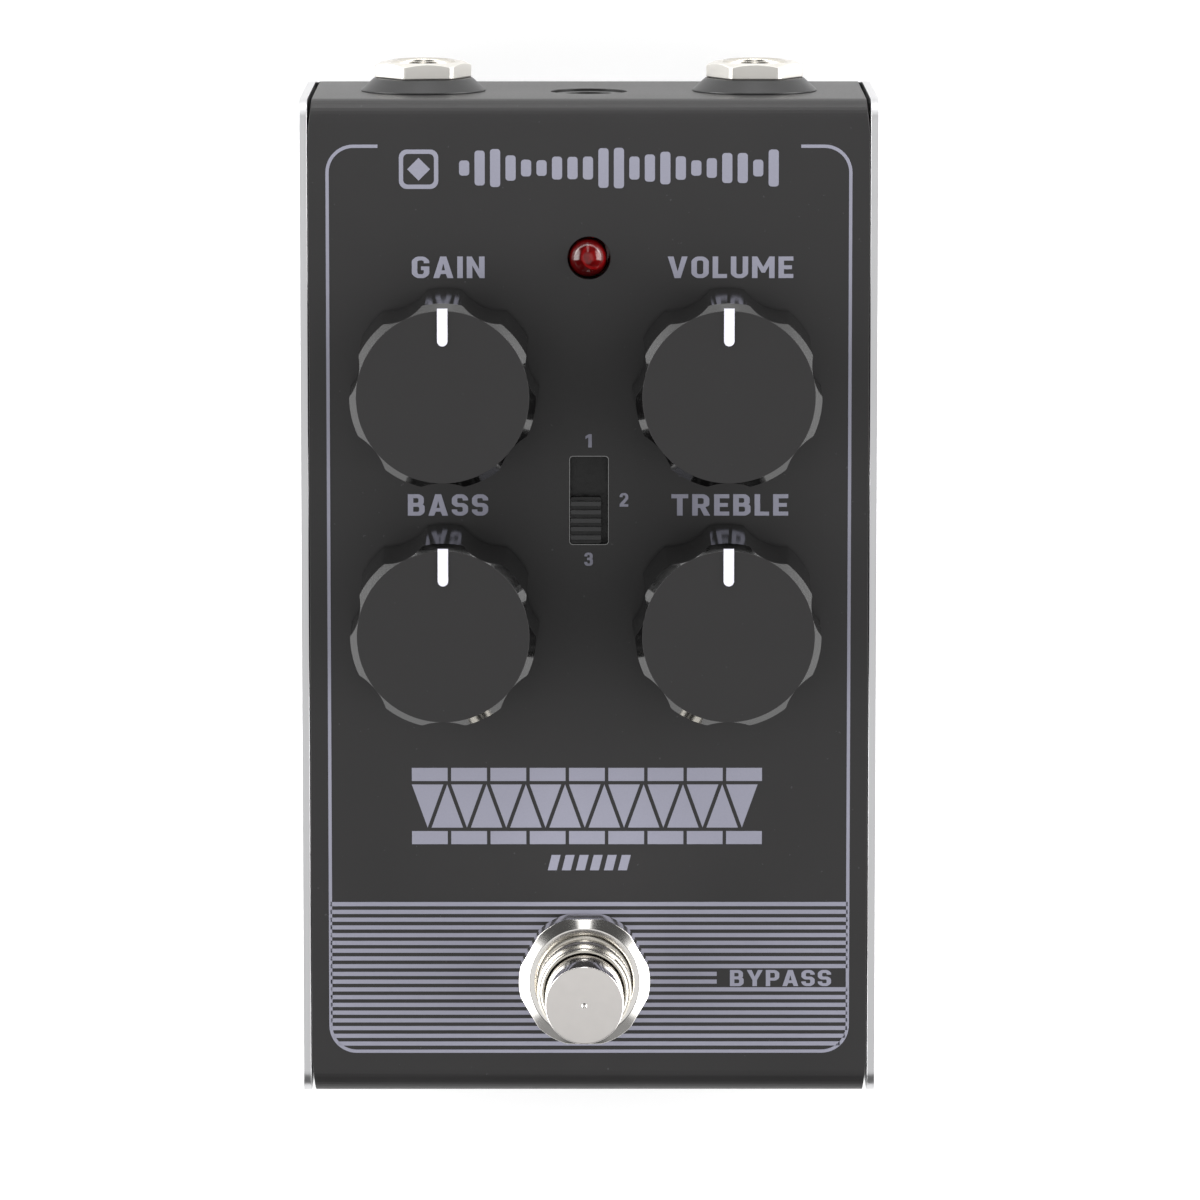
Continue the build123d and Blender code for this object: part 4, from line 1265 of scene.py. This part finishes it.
@dataclass
class FootSwitch:
    """The foot-operated switch: washer, nut, threaded bush, button and spring."""

    thread_pitch: float = 0.75 * MM
    thread_depth: float = 0.3 * MM
    nut: NutShape = NutShape(16.2 * MM, 6.02 * MM, 8.4 * MM, 7.0 * MM, 29.7)
    washer_radius: float = 7.9 * MM
    bush_radius: float = 6.0 * MM
    bore_radius: float = 5.05 * MM
    cap_radius: float = 4.95 * MM
    stem_radius: float = 2.5 * MM
    spring_radius: float = 3.75 * MM
    wire_radius: float = 0.35 * MM
    cap_edge: float = 0.16 * MM

    def build(self) -> None:
        """Make the switch's visible pieces."""
        bush = Span.of("footswitch_bushing")
        axis = (bush.mid.x, bush.mid.y, 0)
        self.washer(axis)
        self.nuts(axis)
        self.bush(bush, axis)
        self.button(axis)
        self.spring(axis)

    def washer(self, axis: tuple) -> None:
        """The flat washer on the face."""
        span = Span.of("footswitch_washer")
        mesh = spun(
            [
                (self.bush_radius + 0.05 * MM, span.low.z),
                (self.washer_radius, span.low.z),
                (self.washer_radius, span.high.z),
                (self.bush_radius + 0.05 * MM, span.high.z),
            ],
            144,
        )
        add_piece(
            "footswitch_flat_washer", moved(mesh, axis), NICKEL, "case", ["footswitch_washer"],
            Edge(0.25 * MM, 3),
        )

    def nuts(self, axis: tuple) -> None:
        """The nut on the face and the one under it."""
        for node in ("footswitch_nut", "footswitch_inner_nut"):
            span = Span.of(node)
            mesh = self.nut.mesh(span.size.z, math.pi / 2)
            add_piece(
                f"{node}_turned", moved(mesh, (axis[0], axis[1], span.low.z)), NICKEL, "case",
                [node], Edge(0.14 * MM, 3, 16.0), 20.0,
            )

    def bush(self, span: Span, axis: tuple) -> None:
        """The bush with its thread from below the face to its top."""
        low, top = span.low.z, span.high.z
        root = self.bush_radius - self.thread_depth
        seat = 33.0 * MM
        core = spun(
            [
                (self.stem_radius + 0.08 * MM, low),
                (root, low),
                (root, top - 0.35 * MM),
                (root - 0.2 * MM, top - 0.1 * MM),
                (root - 0.35 * MM, top),
                (self.bore_radius + 0.12 * MM, top),
                (self.bore_radius, top - 0.15 * MM),
                (self.bore_radius, seat),
                (self.stem_radius + 0.08 * MM, seat),
            ],
            128,
        )
        rise = top - low - 1.1 * MM
        turns = rise / self.thread_pitch
        crest = coil_tree().run(
            NICKEL, Turns=turns, Radius=root, Rise=rise, Wire=self.thread_depth, Sides=4,
            Steps=int(turns * 56),
        )
        mesh = joined([core, moved(cleaned(crest), (0, 0, low + 0.5 * MM))])
        add_piece(
            "footswitch_threaded_bush", moved(mesh, axis), THREAD_NICKEL, "case",
            ["footswitch_bushing"], None, 50.0,
        )

    def button(self, axis: tuple) -> None:
        """The button: polished side, faced top with a centre mark, and its stem."""
        span = Span.of("footswitch_plunger")
        low, top = span.low.z, span.high.z
        shoulder = 41.0 * MM
        rim = [
            (
                self.cap_radius - self.cap_edge + self.cap_edge * math.cos(a),
                top - self.cap_edge + self.cap_edge * math.sin(a),
            )
            for a in np.linspace(0, math.pi / 2, 8)
        ]
        mesh = spun(
            [
                (0.0, low),
                (self.stem_radius, low),
                (self.stem_radius, shoulder),
                (self.cap_radius - 0.2 * MM, shoulder),
                (self.cap_radius, shoulder + 0.2 * MM),
                *rim,
                (0.32 * MM, top),
                (0.22 * MM, top - 0.08 * MM),
                (0.0, top - 0.16 * MM),
            ],
            144,
        )
        finish = TurnedMetal("faced_nickel", (0.77, 0.74, 0.715), 0.07, axis=(axis[0], axis[1]))
        add_piece(
            "footswitch_button", moved(mesh, axis), finish, "foot_button",
            ["footswitch_plunger"],
        )

    def spring(self, axis: tuple) -> None:
        """The return spring."""
        span = Span.of("footswitch_spring")
        rise = span.size.z - 2 * self.wire_radius
        turns = 4.0
        mesh = coil_tree().run(
            SPRING_WIRE, Turns=turns, Radius=self.spring_radius, Rise=rise, Wire=self.wire_radius,
            Sides=12, Steps=int(turns * 48),
        )
        piece = add_piece(
            "return_spring", moved(cleaned(mesh), (axis[0], axis[1], span.low.z + self.wire_radius)),
            SPRING_WIRE, "case", ["footswitch_spring"],
        )
        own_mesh(piece)


@dataclass
class Jack:
    """One quarter-inch jack's outer pieces."""

    side: str
    nut_turn: float
    thread_pitch: float = 0.75 * MM
    thread_depth: float = 0.28 * MM
    sleeve_radius: float = 4.5 * MM
    plug_radius: float = 3.175 * MM
    nut: NutShape = NutShape(11.0 * MM, 4.52 * MM, 6.2 * MM, 5.2 * MM, 26.6)

    def meshes(self) -> tuple[bpy.types.Mesh, bpy.types.Mesh]:
        """Return the nut and the tapered washer, in place."""
        axis = Span.of(f"{self.side}_jack_sleeve").mid
        nuts, washers = Span.of("jack_nuts"), Span.of("jack_washers")
        turn = Matrix.Rotation(-math.pi / 2, 4, "X")
        nut = self.nut.mesh(nuts.size.y, self.nut_turn)
        thick = washers.size.y
        hole = self.sleeve_radius + 0.02 * MM
        washer = spun(
            [
                (hole, 0.0),
                (8.0 * MM, 0.0),
                (8.0 * MM, 0.2 * MM),
                (6.45 * MM, thick - 0.12 * MM),
                (6.3 * MM, thick),
                (hole, thick),
            ],
            128,
        )
        return (
            moved(nut, (axis.x, nuts.low.y, axis.z), turn),
            moved(washer, (axis.x, washers.low.y, axis.z), turn),
        )

    def sleeve(self) -> None:
        """The threaded sleeve that guides the plug."""
        node = f"{self.side}_jack_sleeve"
        span = Span.of(node)
        length = span.size.y
        root = self.sleeve_radius - self.thread_depth
        core = spun(
            [
                (self.plug_radius, 0.0),
                (root, 0.0),
                (root, length - 0.4 * MM),
                (root - 0.3 * MM, length),
                (self.plug_radius + 0.35 * MM, length),
                (self.plug_radius, length - 0.4 * MM),
            ],
            112,
        )
        rise = length - 1.1 * MM
        turns = rise / self.thread_pitch
        crest = coil_tree().run(
            NICKEL, Turns=turns, Radius=root, Rise=rise, Wire=self.thread_depth, Sides=4,
            Steps=int(turns * 56),
        )
        mesh = joined([core, moved(cleaned(crest), (0, 0, 0.4 * MM))])
        mesh = moved(mesh, (span.mid.x, span.low.y, span.mid.z), Matrix.Rotation(-math.pi / 2, 4, "X"))
        add_piece(
            f"{self.side}_threaded_sleeve", mesh, THREAD_NICKEL, "case", [node], None, 50.0
        )


@dataclass
class RearPanel:
    """The jacks and the power inlet."""

    jacks: tuple[Jack, ...]

    def build(self) -> None:
        """Make the rear wall's pieces."""
        made = [jack.meshes() for jack in self.jacks]
        add_piece(
            "jack_hex_nuts", joined([nut for nut, _ in made]), JACK_NICKEL, "case", ["jack_nuts"],
            Edge(0.09 * MM, 2, 20.0), 24.0,
        )
        add_piece(
            "jack_taper_washers", joined([washer for _, washer in made]), MOULDED_BLACK, "case",
            ["jack_washers"], Edge(0.08 * MM, 2),
        )
        for jack in self.jacks:
            jack.sleeve()
        add_piece(
            "inlet_socket", node_copy("power_inlet_housing"), MOULDED_BLACK, "case",
            ["power_inlet_housing"], Edge(0.12 * MM, 2, 50.0),
        )
        add_piece(
            "inlet_centre_pin", node_copy("power_inlet_pin", 0.1), NICKEL, "case",
            ["power_inlet_pin"],
        )


class Letters:
    """Bold block capitals, each as outlines in a cell one unit high: points are x, y and corner radius."""

    GAP = 0.14
    SHAPES: ClassVar[dict[str, list[list[tuple[float, ...]]]]] = {
        "A": [
            [(0, 0), (0.21, 0), (0.27, 0.19), (0.45, 0.19), (0.51, 0), (0.72, 0), (0.47, 1), (0.25, 1)],
            [(0.3, 0.36), (0.42, 0.36), (0.36, 0.68)],
        ],
        "B": [
            [(0, 0), (0.62, 0, 0.2), (0.62, 0.49, 0.12), (0.54, 0.53), (0.59, 0.57, 0.08)]
            + [(0.59, 1, 0.2), (0, 1)],
            [(0.2, 0.18), (0.42, 0.18, 0.06), (0.42, 0.42, 0.06), (0.2, 0.42)],
            [(0.2, 0.6), (0.39, 0.6, 0.05), (0.39, 0.82, 0.05), (0.2, 0.82)],
        ],
        "E": [
            [(0, 0), (0.54, 0), (0.54, 0.19), (0.2, 0.19), (0.2, 0.41), (0.49, 0.41), (0.49, 0.59)]
            + [(0.2, 0.59), (0.2, 0.81), (0.54, 0.81), (0.54, 1), (0, 1)],
        ],
        "G": [
            [(0.63, 0.54), (0.63, 0, 0.24), (0, 0, 0.24), (0, 1, 0.24), (0.63, 1, 0.24), (0.63, 0.69)]
            + [(0.43, 0.69), (0.43, 0.82, 0.07), (0.2, 0.82, 0.07), (0.2, 0.18, 0.07), (0.43, 0.18, 0.07)]
            + [(0.43, 0.37), (0.33, 0.37), (0.33, 0.54)],
        ],
        "I": [[(0, 0), (0.2, 0), (0.2, 1), (0, 1)]],
        "L": [[(0, 0), (0.52, 0), (0.52, 0.19), (0.2, 0.19), (0.2, 1), (0, 1)]],
        "M": [
            [(0, 0), (0.2, 0), (0.2, 0.58), (0.35, 0.25), (0.47, 0.25), (0.62, 0.58), (0.62, 0), (0.82, 0)]
            + [(0.82, 1), (0.63, 1), (0.41, 0.52), (0.19, 1), (0, 1)],
        ],
        "N": [
            [(0, 0), (0.2, 0), (0.2, 0.58), (0.46, 0), (0.64, 0), (0.64, 1), (0.44, 1), (0.44, 0.42)]
            + [(0.18, 1), (0, 1)],
        ],
        "O": [
            [(0, 0, 0.24), (0.63, 0, 0.24), (0.63, 1, 0.24), (0, 1, 0.24)],
            [(0.2, 0.18, 0.07), (0.43, 0.18, 0.07), (0.43, 0.82, 0.07), (0.2, 0.82, 0.07)],
        ],
        "P": [
            [(0, 0), (0.2, 0), (0.2, 0.34), (0.61, 0.34, 0.22), (0.61, 1, 0.22), (0, 1)],
            [(0.2, 0.52), (0.41, 0.52, 0.06), (0.41, 0.82, 0.06), (0.2, 0.82)],
        ],
        "R": [
            [(0, 0), (0.2, 0), (0.2, 0.36), (0.28, 0.36), (0.42, 0), (0.64, 0), (0.47, 0.4)]
            + [(0.61, 0.46, 0.1)]
            + [(0.61, 1, 0.22), (0, 1)],
            [(0.2, 0.54), (0.41, 0.54, 0.06), (0.41, 0.82, 0.06), (0.2, 0.82)],
        ],
        "S": [
            [(0, 0.29), (0, 0, 0.22), (0.6, 0, 0.22), (0.6, 0.59, 0.19), (0.2, 0.59, 0.05), (0.2, 0.82, 0.05)]
            + [(0.4, 0.82, 0.05), (0.4, 0.71), (0.6, 0.71), (0.6, 1, 0.22), (0, 1, 0.22), (0, 0.41, 0.19)]
            + [(0.4, 0.41, 0.05), (0.4, 0.18, 0.05), (0.2, 0.18, 0.05), (0.2, 0.29)],
        ],
        "T": [
            [(0.2, 0), (0.4, 0), (0.4, 0.81), (0.6, 0.81), (0.6, 1), (0, 1), (0, 0.81), (0.2, 0.81)],
        ],
        "U": [
            [(0, 1), (0, 0, 0.24), (0.63, 0, 0.24), (0.63, 1), (0.43, 1), (0.43, 0.18, 0.07)]
            + [(0.2, 0.18, 0.07), (0.2, 1)],
        ],
        "V": [[(0.25, 0), (0.47, 0), (0.72, 1), (0.51, 1), (0.36, 0.31), (0.21, 1), (0, 1)]],
        "Y": [
            [(0.26, 0), (0.46, 0), (0.46, 0.37), (0.72, 1), (0.5, 1), (0.36, 0.58), (0.22, 1), (0, 1)]
            + [(0.26, 0.37)],
        ],
        "1": [[(0.17, 0), (0.38, 0), (0.38, 1), (0.2, 1), (0, 0.84), (0, 0.63), (0.17, 0.76)]],
        "2": [
            [(0, 0), (0.58, 0), (0.58, 0.18), (0.28, 0.18), (0.58, 0.57, 0.1), (0.58, 1, 0.22), (0, 1, 0.22)]
            + [(0, 0.7), (0.2, 0.7), (0.2, 0.83, 0.05), (0.38, 0.83, 0.05), (0.38, 0.64, 0.05), (0, 0.2)],
        ],
        "3": [
            [(0, 0.29), (0, 0, 0.2), (0.58, 0, 0.2), (0.58, 0.48, 0.1), (0.5, 0.52), (0.56, 0.57, 0.08)]
            + [(0.56, 1, 0.2), (0.01, 1, 0.2), (0.01, 0.71), (0.21, 0.71), (0.21, 0.83, 0.04)]
            + [(0.36, 0.83, 0.05), (0.36, 0.61, 0.04), (0.18, 0.61), (0.18, 0.43), (0.38, 0.43, 0.05)]
            + [(0.38, 0.17, 0.05), (0.2, 0.17, 0.05), (0.2, 0.29)],
        ],
    }

    @staticmethod
    def rounded(points: Sequence[tuple[float, ...]], steps: int = 6) -> Outline:
        """Return an outline with its marked corners rounded."""
        outline = []
        count = len(points)
        for k, point in enumerate(points):
            corner = Vector(point[:2])
            if len(point) == 2:
                outline.append(tuple(corner))
                continue
            before = Vector(points[k - 1][:2]) - corner
            after = Vector(points[(k + 1) % count][:2]) - corner
            half = before.angle(after) / 2
            reach = point[2] / math.tan(half)
            start, end = corner + before.normalized() * reach, corner + after.normalized() * reach
            pull = 1.0 / (1.0 + 1.0 / math.cos(math.pi / 2 - half)) * 2
            for t in np.linspace(0, 1, steps + 1):
                weights = ((1 - t) ** 2, pull * t * (1 - t), t**2)
                total = sum(weights)
                spot = (start * weights[0] + corner * weights[1] + end * weights[2]) / total
                outline.append(tuple(spot))
        return outline

    @classmethod
    def word(cls, text: str, low: Vector, high: Vector) -> list[list[Outline]]:
        """Return the outlines of a word's letters, fitted between two corners.

        Args:
            text: The word.
            low: Its lower left corner.
            high: Its upper right corner.

        Returns:
            For each letter, its outer outline and then its counters.
        """
        letters, pen = [], 0.0
        for sign in text:
            shape = [cls.rounded(loop) for loop in cls.SHAPES[sign]]
            letters.append([[(x + pen, y) for x, y in loop] for loop in shape])
            pen = max(x for x, _ in letters[-1][0]) + cls.GAP
        wide = (high.x - low.x) / (pen - cls.GAP)
        tall = high.y - low.y
        return [
            [[(low.x + x * wide, low.y + y * tall) for x, y in loop] for loop in shape]
            for shape in letters
        ]


@dataclass
class FacePrint:
    """Everything printed on the face, as thin raised ink."""

    ink: float = 0.03 * MM
    line: float = 0.42 * MM
    half_width: float = 33.2 * MM
    top: float = 56.12 * MM
    bottom: float = -60.5 * MM
    corner: float = 3.34 * MM
    gap_left: float = -26.8 * MM
    gap_right: float = 26.9 * MM
    stripes: int = 19
    stripe_first: float = -41.3 * MM
    stripe_pitch: float = 1.011 * MM
    stripe_width: float = 0.54 * MM
    tooth_count: int = 9
    tooth_bar: float = 1.7 * MM
    tooth_gap: float = 0.45 * MM
    dash_count: int = 6
    words: ClassVar[dict[str, tuple[str, float, float, float, float]]] = {
        "gain": ("GAIN", -22.5, -13.25, 39.35, 42.1),
        "volume": ("VOLUME", 10.0, 25.95, 39.35, 42.1),
        "bass": ("BASS", -23.1, -12.85, 8.95, 11.7),
        "treble": ("TREBLE", 10.5, 25.4, 8.95, 11.7),
        "one": ("1", -0.45, 0.35, 17.7, 19.4),
        "two": ("2", 3.9, 5.0, 10.1, 11.85),
        "three": ("3", -0.6, 0.5, 2.5, 4.2),
        "bypass": ("BYPASS", 18.1, 31.1, -52.0, -49.9),
    }

    def build(self) -> None:
        """Make every printed piece."""
        face = Span.of("top_cover").high.z
        self.base = face
        self.frame_line()
        self.ruled_lines()
        for name, (text, left, right, low, high) in self.words.items():
            self.word(name, text, Vector((left, low)) * MM, Vector((right, high)) * MM)
        self.teeth()
        self.dashes()
        self.square_sign()
        self.level_bars()

    def plate(self, outline: Outline) -> bpy.types.Mesh:
        """Return an outline as a plate of ink on the face."""
        return slab(outline, self.base, self.base + self.ink)

    def add(self, name: str, mesh: bpy.types.Mesh) -> None:
        """Add a printed piece."""
        add_piece(f"print_{name}", mesh, INK, "case")

    def frame_line(self) -> None:
        """The line round the face, open at its top."""
        half = self.line / 2
        mid_y = (self.top + self.bottom) / 2
        ring = round_box(2 * self.half_width, self.top - self.bottom, self.corner, 12)
        ring = [(x, y + mid_y) for x, y in ring]
        start = next(i for i, (x, y) in enumerate(ring) if x < 0)
        path = [(self.gap_left, self.top), *ring[start:], *ring[:start], (self.gap_right, self.top)]
        points = np.array(path)
        ahead = np.roll(points, -1, 0) - points
        ahead[-1] = ahead[-2]
        behind = np.roll(ahead, 1, 0)
        behind[0] = ahead[0]
        unit = ahead / np.linalg.norm(ahead, axis=1)[:, None]
        unit = unit + behind / np.linalg.norm(behind, axis=1)[:, None]
        unit /= np.linalg.norm(unit, axis=1)[:, None]
        normal = np.stack([-unit[:, 1], unit[:, 0]], 1) * half
        outline = [tuple(p) for p in points + normal] + [tuple(p) for p in (points - normal)[::-1]]
        self.add("frame_line", self.plate(outline))

    def ruled_lines(self) -> None:
        """The ruled field round the foot switch, with room left for its word."""
        tree = stripe_tree()
        shared = dict(
            Pitch=self.stripe_pitch,
            Thickness=self.stripe_width,
            Ink=self.ink,
            Left=-self.half_width,
            Half_Width=self.half_width,
            Corner=self.corner,
            Last_Y=self.bottom,
        )
        level = self.base + self.ink / 2
        all_rows = tree.run(
            INK, Count=self.stripes, First=(0.0, self.stripe_first, level), Right=self.half_width,
            Skip_From=9, Skip_To=10, **shared,
        )
        short = tree.run(
            INK, Count=2, First=(0.0, self.stripe_first - 9 * self.stripe_pitch, level), Right=16.4 * MM,
            Skip_From=5, Skip_To=5, **shared,
        )
        self.add("ruled_lines", joined([all_rows, short]))

    def word(self, name: str, text: str, low: Vector, high: Vector) -> None:
        """A word or a number, fitted between two corners."""
        shapes = Letters.word(text, low, high)
        top = self.base + self.ink
        self.add(name, joined([slab(shape[0], self.base, top, shape[1:]) for shape in shapes]))

    def teeth(self) -> None:
        """The band under the knobs: two interlocking rows of teeth between split bars."""
        left, right, low, high = (v * MM for v in (-22.7, 22.6, -33.5, -23.6))
        count, bar, gap = self.tooth_count, self.tooth_bar, self.tooth_gap
        pitch = (right - left) / count
        parts = []
        for k in range(count):
            x = left + k * pitch
            inner = x + pitch - gap
            parts.append(self.plate([(x, high - bar), (inner, high - bar), (inner, high), (x, high)]))
            parts.append(self.plate([(x, low), (inner, low), (inner, low + bar), (x, low + bar)]))
            root, point = high - bar - gap, low + bar + gap
            down = [(x, root), (x + pitch * 0.4, point), (x + pitch * 0.8, root)]
            up = [(x + pitch * 0.5, point), (x + pitch * 1.3, point), (x + pitch * 0.9, root)]
            parts.append(self.plate(down))
            if k < count - 1:
                parts.append(self.plate(up))
        self.add("teeth", joined(parts))

    def dashes(self) -> None:
        """A short row of slanted dashes under the teeth."""
        left, low, high, pitch, wide, lean = (v * MM for v in (-5.3, -36.9, -34.9, 1.8, 1.15, 0.5))
        parts = []
        for k in range(self.dash_count):
            x = left + k * pitch
            parts.append(self.plate([(x, low), (x + wide, low), (x + wide + lean, high), (x + lean, high)]))
        self.add("dashes", joined(parts))

    def square_sign(self) -> None:
        """A square ring round a diamond."""
        centre = Vector((-21.6, 53.2)) * MM
        ring = round_box(5.0 * MM, 5.0 * MM, 1.0 * MM, 5)
        hole = round_box(3.9 * MM, 3.9 * MM, 0.6 * MM, 5)
        ring, hole = ([(centre.x + x, centre.y + y) for x, y in loop] for loop in (ring, hole))
        reach = 1.45 * MM
        spots = ((reach, 0.0), (0.0, reach), (-reach, 0.0), (0.0, -reach))
        diamond = self.plate([(centre.x + x, centre.y + y) for x, y in spots])
        self.add("square_sign", joined([slab(ring, self.base, self.base + self.ink, [hole]), diamond]))

    def level_bars(self) -> None:
        """A row of upright bars that rise and fall beside the round sign."""
        left, right, low, high = (v * MM for v in (-16.8, 24.4, 50.6, 56.1))
        count = 21
        pitch = (right - left) / count
        bars = []
        for k in range(count):
            share = 0.35 + 0.65 * abs(math.sin(k * 0.83) * math.cos(k * 0.31))
            x = left + (k + 0.5) * pitch
            tall = (high - low) / 2 * share
            outline = round_box(pitch * 0.66, 2 * tall, pitch * 0.2, 4)
            bars.append(self.plate([(x + dx, (low + high) / 2 + dy) for dx, dy in outline]))
        self.add("level_bars", joined(bars))


@dataclass
class Inside:
    """The CAD parts that stay as they are, each with its finish."""

    finishes: ClassVar[dict[str, Finish]] = {
        "control_board": MASK_GREEN,
        "footswitch_board": MASK_GREEN,
        "pot_washers": NICKEL,
        "pot_nuts": NICKEL,
        "slide_switch_body": TINNED,
        "led_leads": TINNED,
        "footswitch_housing": SWITCH_BLUE,
        "footswitch_lugs": TINNED,
        "cable_headers": SOCKET_WHITE,
        "ribbon_cable": RIBBON_GREY,
        "output_jack_housing": MOULDED_BLACK,
        "input_jack_housing": MOULDED_BLACK,
        "jack_contacts": BRASS,
        "capacitors": SLEEVE_BLUE,
        "film_capacitors": FILM_RED,
        "amplifier_chips": CHIP_BLACK,
    }

    def build(self) -> None:
        """Give each carried-over part its finish."""
        chosen = dict(self.finishes)
        for control in CONTROLS:
            chosen[f"pot_{control}"] = CAN_METAL
            chosen[f"shaft_{control}"] = SHAFT_STEEL
        for node, finish in chosen.items():
            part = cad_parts[node]
            if not part.material_slots:
                part.data.materials.append(None)
            for place in part.material_slots:
                place.material = finish.material()
            LOG.info("%s: finished in %s", node, finish.name)


# ---------------------------------------------------------------- studio
@dataclass
class Studio:
    """A white sweep, soft boxes all round and the camera above the pedal."""

    camera_offset: tuple[float, float, float] = (0.0, 136.2 * MM, 1000 * MM)
    aim_offset: tuple[float, float, float] = (1.4 * MM, 0.09 * MM, 0.0)
    lens: float = 237.1
    backdrop: float = 1.05
    overhead: float = 0.78
    sides: float = 7.0
    rear: float = 4.5
    slit: float = 2.4
    front: float = 0.25
    fill: float = 0.07

    def build(self) -> None:
        """Set up the floor, the light and the camera."""
        scene = bpy.context.scene
        scene.view_settings.view_transform = "Standard"
        scene.view_settings.look = "None"
        self.floor()
        self.world()
        self.camera()

    def floor(self) -> None:
        """The plain pale floor."""
        mesh = raw_mesh([(-4, -4, 0), (4, -4, 0), (4, 4, 0), (-4, 4, 0)], [(0, 1, 2, 3)])
        floor = bpy.data.objects.new("studio_floor", mesh)
        bpy.context.scene.collection.objects.link(floor)
        made = bpy.data.materials.new("floor_white")
        made.use_nodes = True
        made.node_tree.nodes.clear()
        graph = Graph(made.node_tree)
        cloud = graph.grain(80 * MM, 2.0)
        shader = graph.node(
            "ShaderNodeBsdfPrincipled",
            inputs={
                "Base Color": graph.scaled((0.58, 0.58, 0.58), 0.97 + 0.03 * cloud),
                "Roughness": 0.6,
                "Emission Color": (1.0, 1.0, 1.0, 1.0),
                "Emission Strength": 0.46,
            },
        )
        below = graph.node("ShaderNodeNewGeometry").outputs["Backfacing"]
        clear = graph.node("ShaderNodeBsdfTransparent")
        both = graph.node("ShaderNodeMixShader", inputs={0: below, 1: shader.outputs[0], 2: clear.outputs[0]})
        graph.node("ShaderNodeOutputMaterial", inputs={"Surface": both.outputs[0]})
        mesh.materials.append(made)

    def world(self) -> None:
        """Soft boxes as a plain rule of direction, behind a pale backdrop."""
        world = bpy.data.worlds.new("studio")
        bpy.context.scene.world = world
        world.use_nodes = True
        world.node_tree.nodes.clear()
        graph = Graph(world.node_tree)
        x, y, z = graph.split(graph.node("ShaderNodeTexCoord").outputs["Generated"])
        wide = graph.math("ABSOLUTE", x)
        lift = graph.smooth(z, -0.05, 0.02)
        toward, away = graph.smooth(y * -1.0, 0.1, 0.4), graph.smooth(y, 0.1, 0.45)
        side = graph.smooth(wide, 0.6, 0.9) * lift * (1.0 - graph.smooth(z, 0.5, 0.7)) * self.sides
        rear = away * lift * (1.0 - graph.smooth(z, 0.1, 0.22)) * self.rear
        narrow = 1.0 - graph.smooth(wide, 0.06, 0.12)
        slit = away * lift * narrow * (1.0 - graph.smooth(z, 0.74, 0.84)) * self.slit
        low_down = 1.0 - graph.smooth(z, 0.36, 0.58)
        front = toward * lift * graph.smooth(wide, 0.1, 0.35) * low_down * self.front
        above = graph.smooth(z, 0.76, 0.9) * self.overhead
        light = side + rear + slit + front + above + self.fill
        studio = graph.node("ShaderNodeBackground", inputs={"Strength": light})
        studio.inputs["Color"].default_value = (1.0, 1.0, 1.0, 1.0)
        pale = graph.node("ShaderNodeBackground", inputs={"Strength": self.backdrop})
        pale.inputs["Color"].default_value = (1.0, 1.0, 1.0, 1.0)
        seen = graph.node("ShaderNodeLightPath").outputs["Is Camera Ray"]
        both = graph.node("ShaderNodeMixShader", inputs={0: seen, 1: studio.outputs[0], 2: pale.outputs[0]})
        graph.node("ShaderNodeOutputWorld", inputs={"Surface": both.outputs[0]})

    def camera(self) -> None:
        """The camera above the rear half of the pedal."""
        cover = Span.of("top_cover")
        middle = Vector((0.0, cover.mid.y, cover.high.z))
        eye = middle + Vector(self.camera_offset)
        aim = middle + Vector(self.aim_offset)
        data = bpy.data.cameras.new("camera")
        data.lens = self.lens
        data.sensor_width = 36.0
        data.clip_start = 0.01
        data.clip_end = 50.0
        camera = bpy.data.objects.new("camera", data)
        bpy.context.scene.collection.objects.link(camera)
        back = (eye - aim).normalized()
        right = Vector((0, 1, 0)).cross(back).normalized()
        up = back.cross(right)
        turn = Matrix((right, up, back)).transposed().to_4x4()
        camera.matrix_world = Matrix.Translation(eye) @ turn
        bpy.context.scene.camera = camera


CONTROLS = ("gain", "volume", "bass", "treble")
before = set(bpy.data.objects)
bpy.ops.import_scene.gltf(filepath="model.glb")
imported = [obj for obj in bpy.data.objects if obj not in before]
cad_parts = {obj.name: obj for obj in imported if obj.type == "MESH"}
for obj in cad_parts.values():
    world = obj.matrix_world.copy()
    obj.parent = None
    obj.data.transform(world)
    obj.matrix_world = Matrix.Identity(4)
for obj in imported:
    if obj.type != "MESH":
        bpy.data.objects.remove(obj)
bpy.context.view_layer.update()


def main() -> None:
    """Build the whole scene, sub-assembly by sub-assembly."""
    logging.basicConfig(level=logging.INFO, format="%(message)s")
    Studio().build()
    Case().build()
    knobs = knob_tree(7)
    for control in CONTROLS:
        Knob(control).build(knobs)
    SlideSwitch().build()
    Lamp().build()
    FootSwitch().build()
    RearPanel((Jack("output", math.radians(37)), Jack("input", math.radians(30)))).build()
    FacePrint().build()
    Inside().build()


if __name__ == "__main__":
    main()
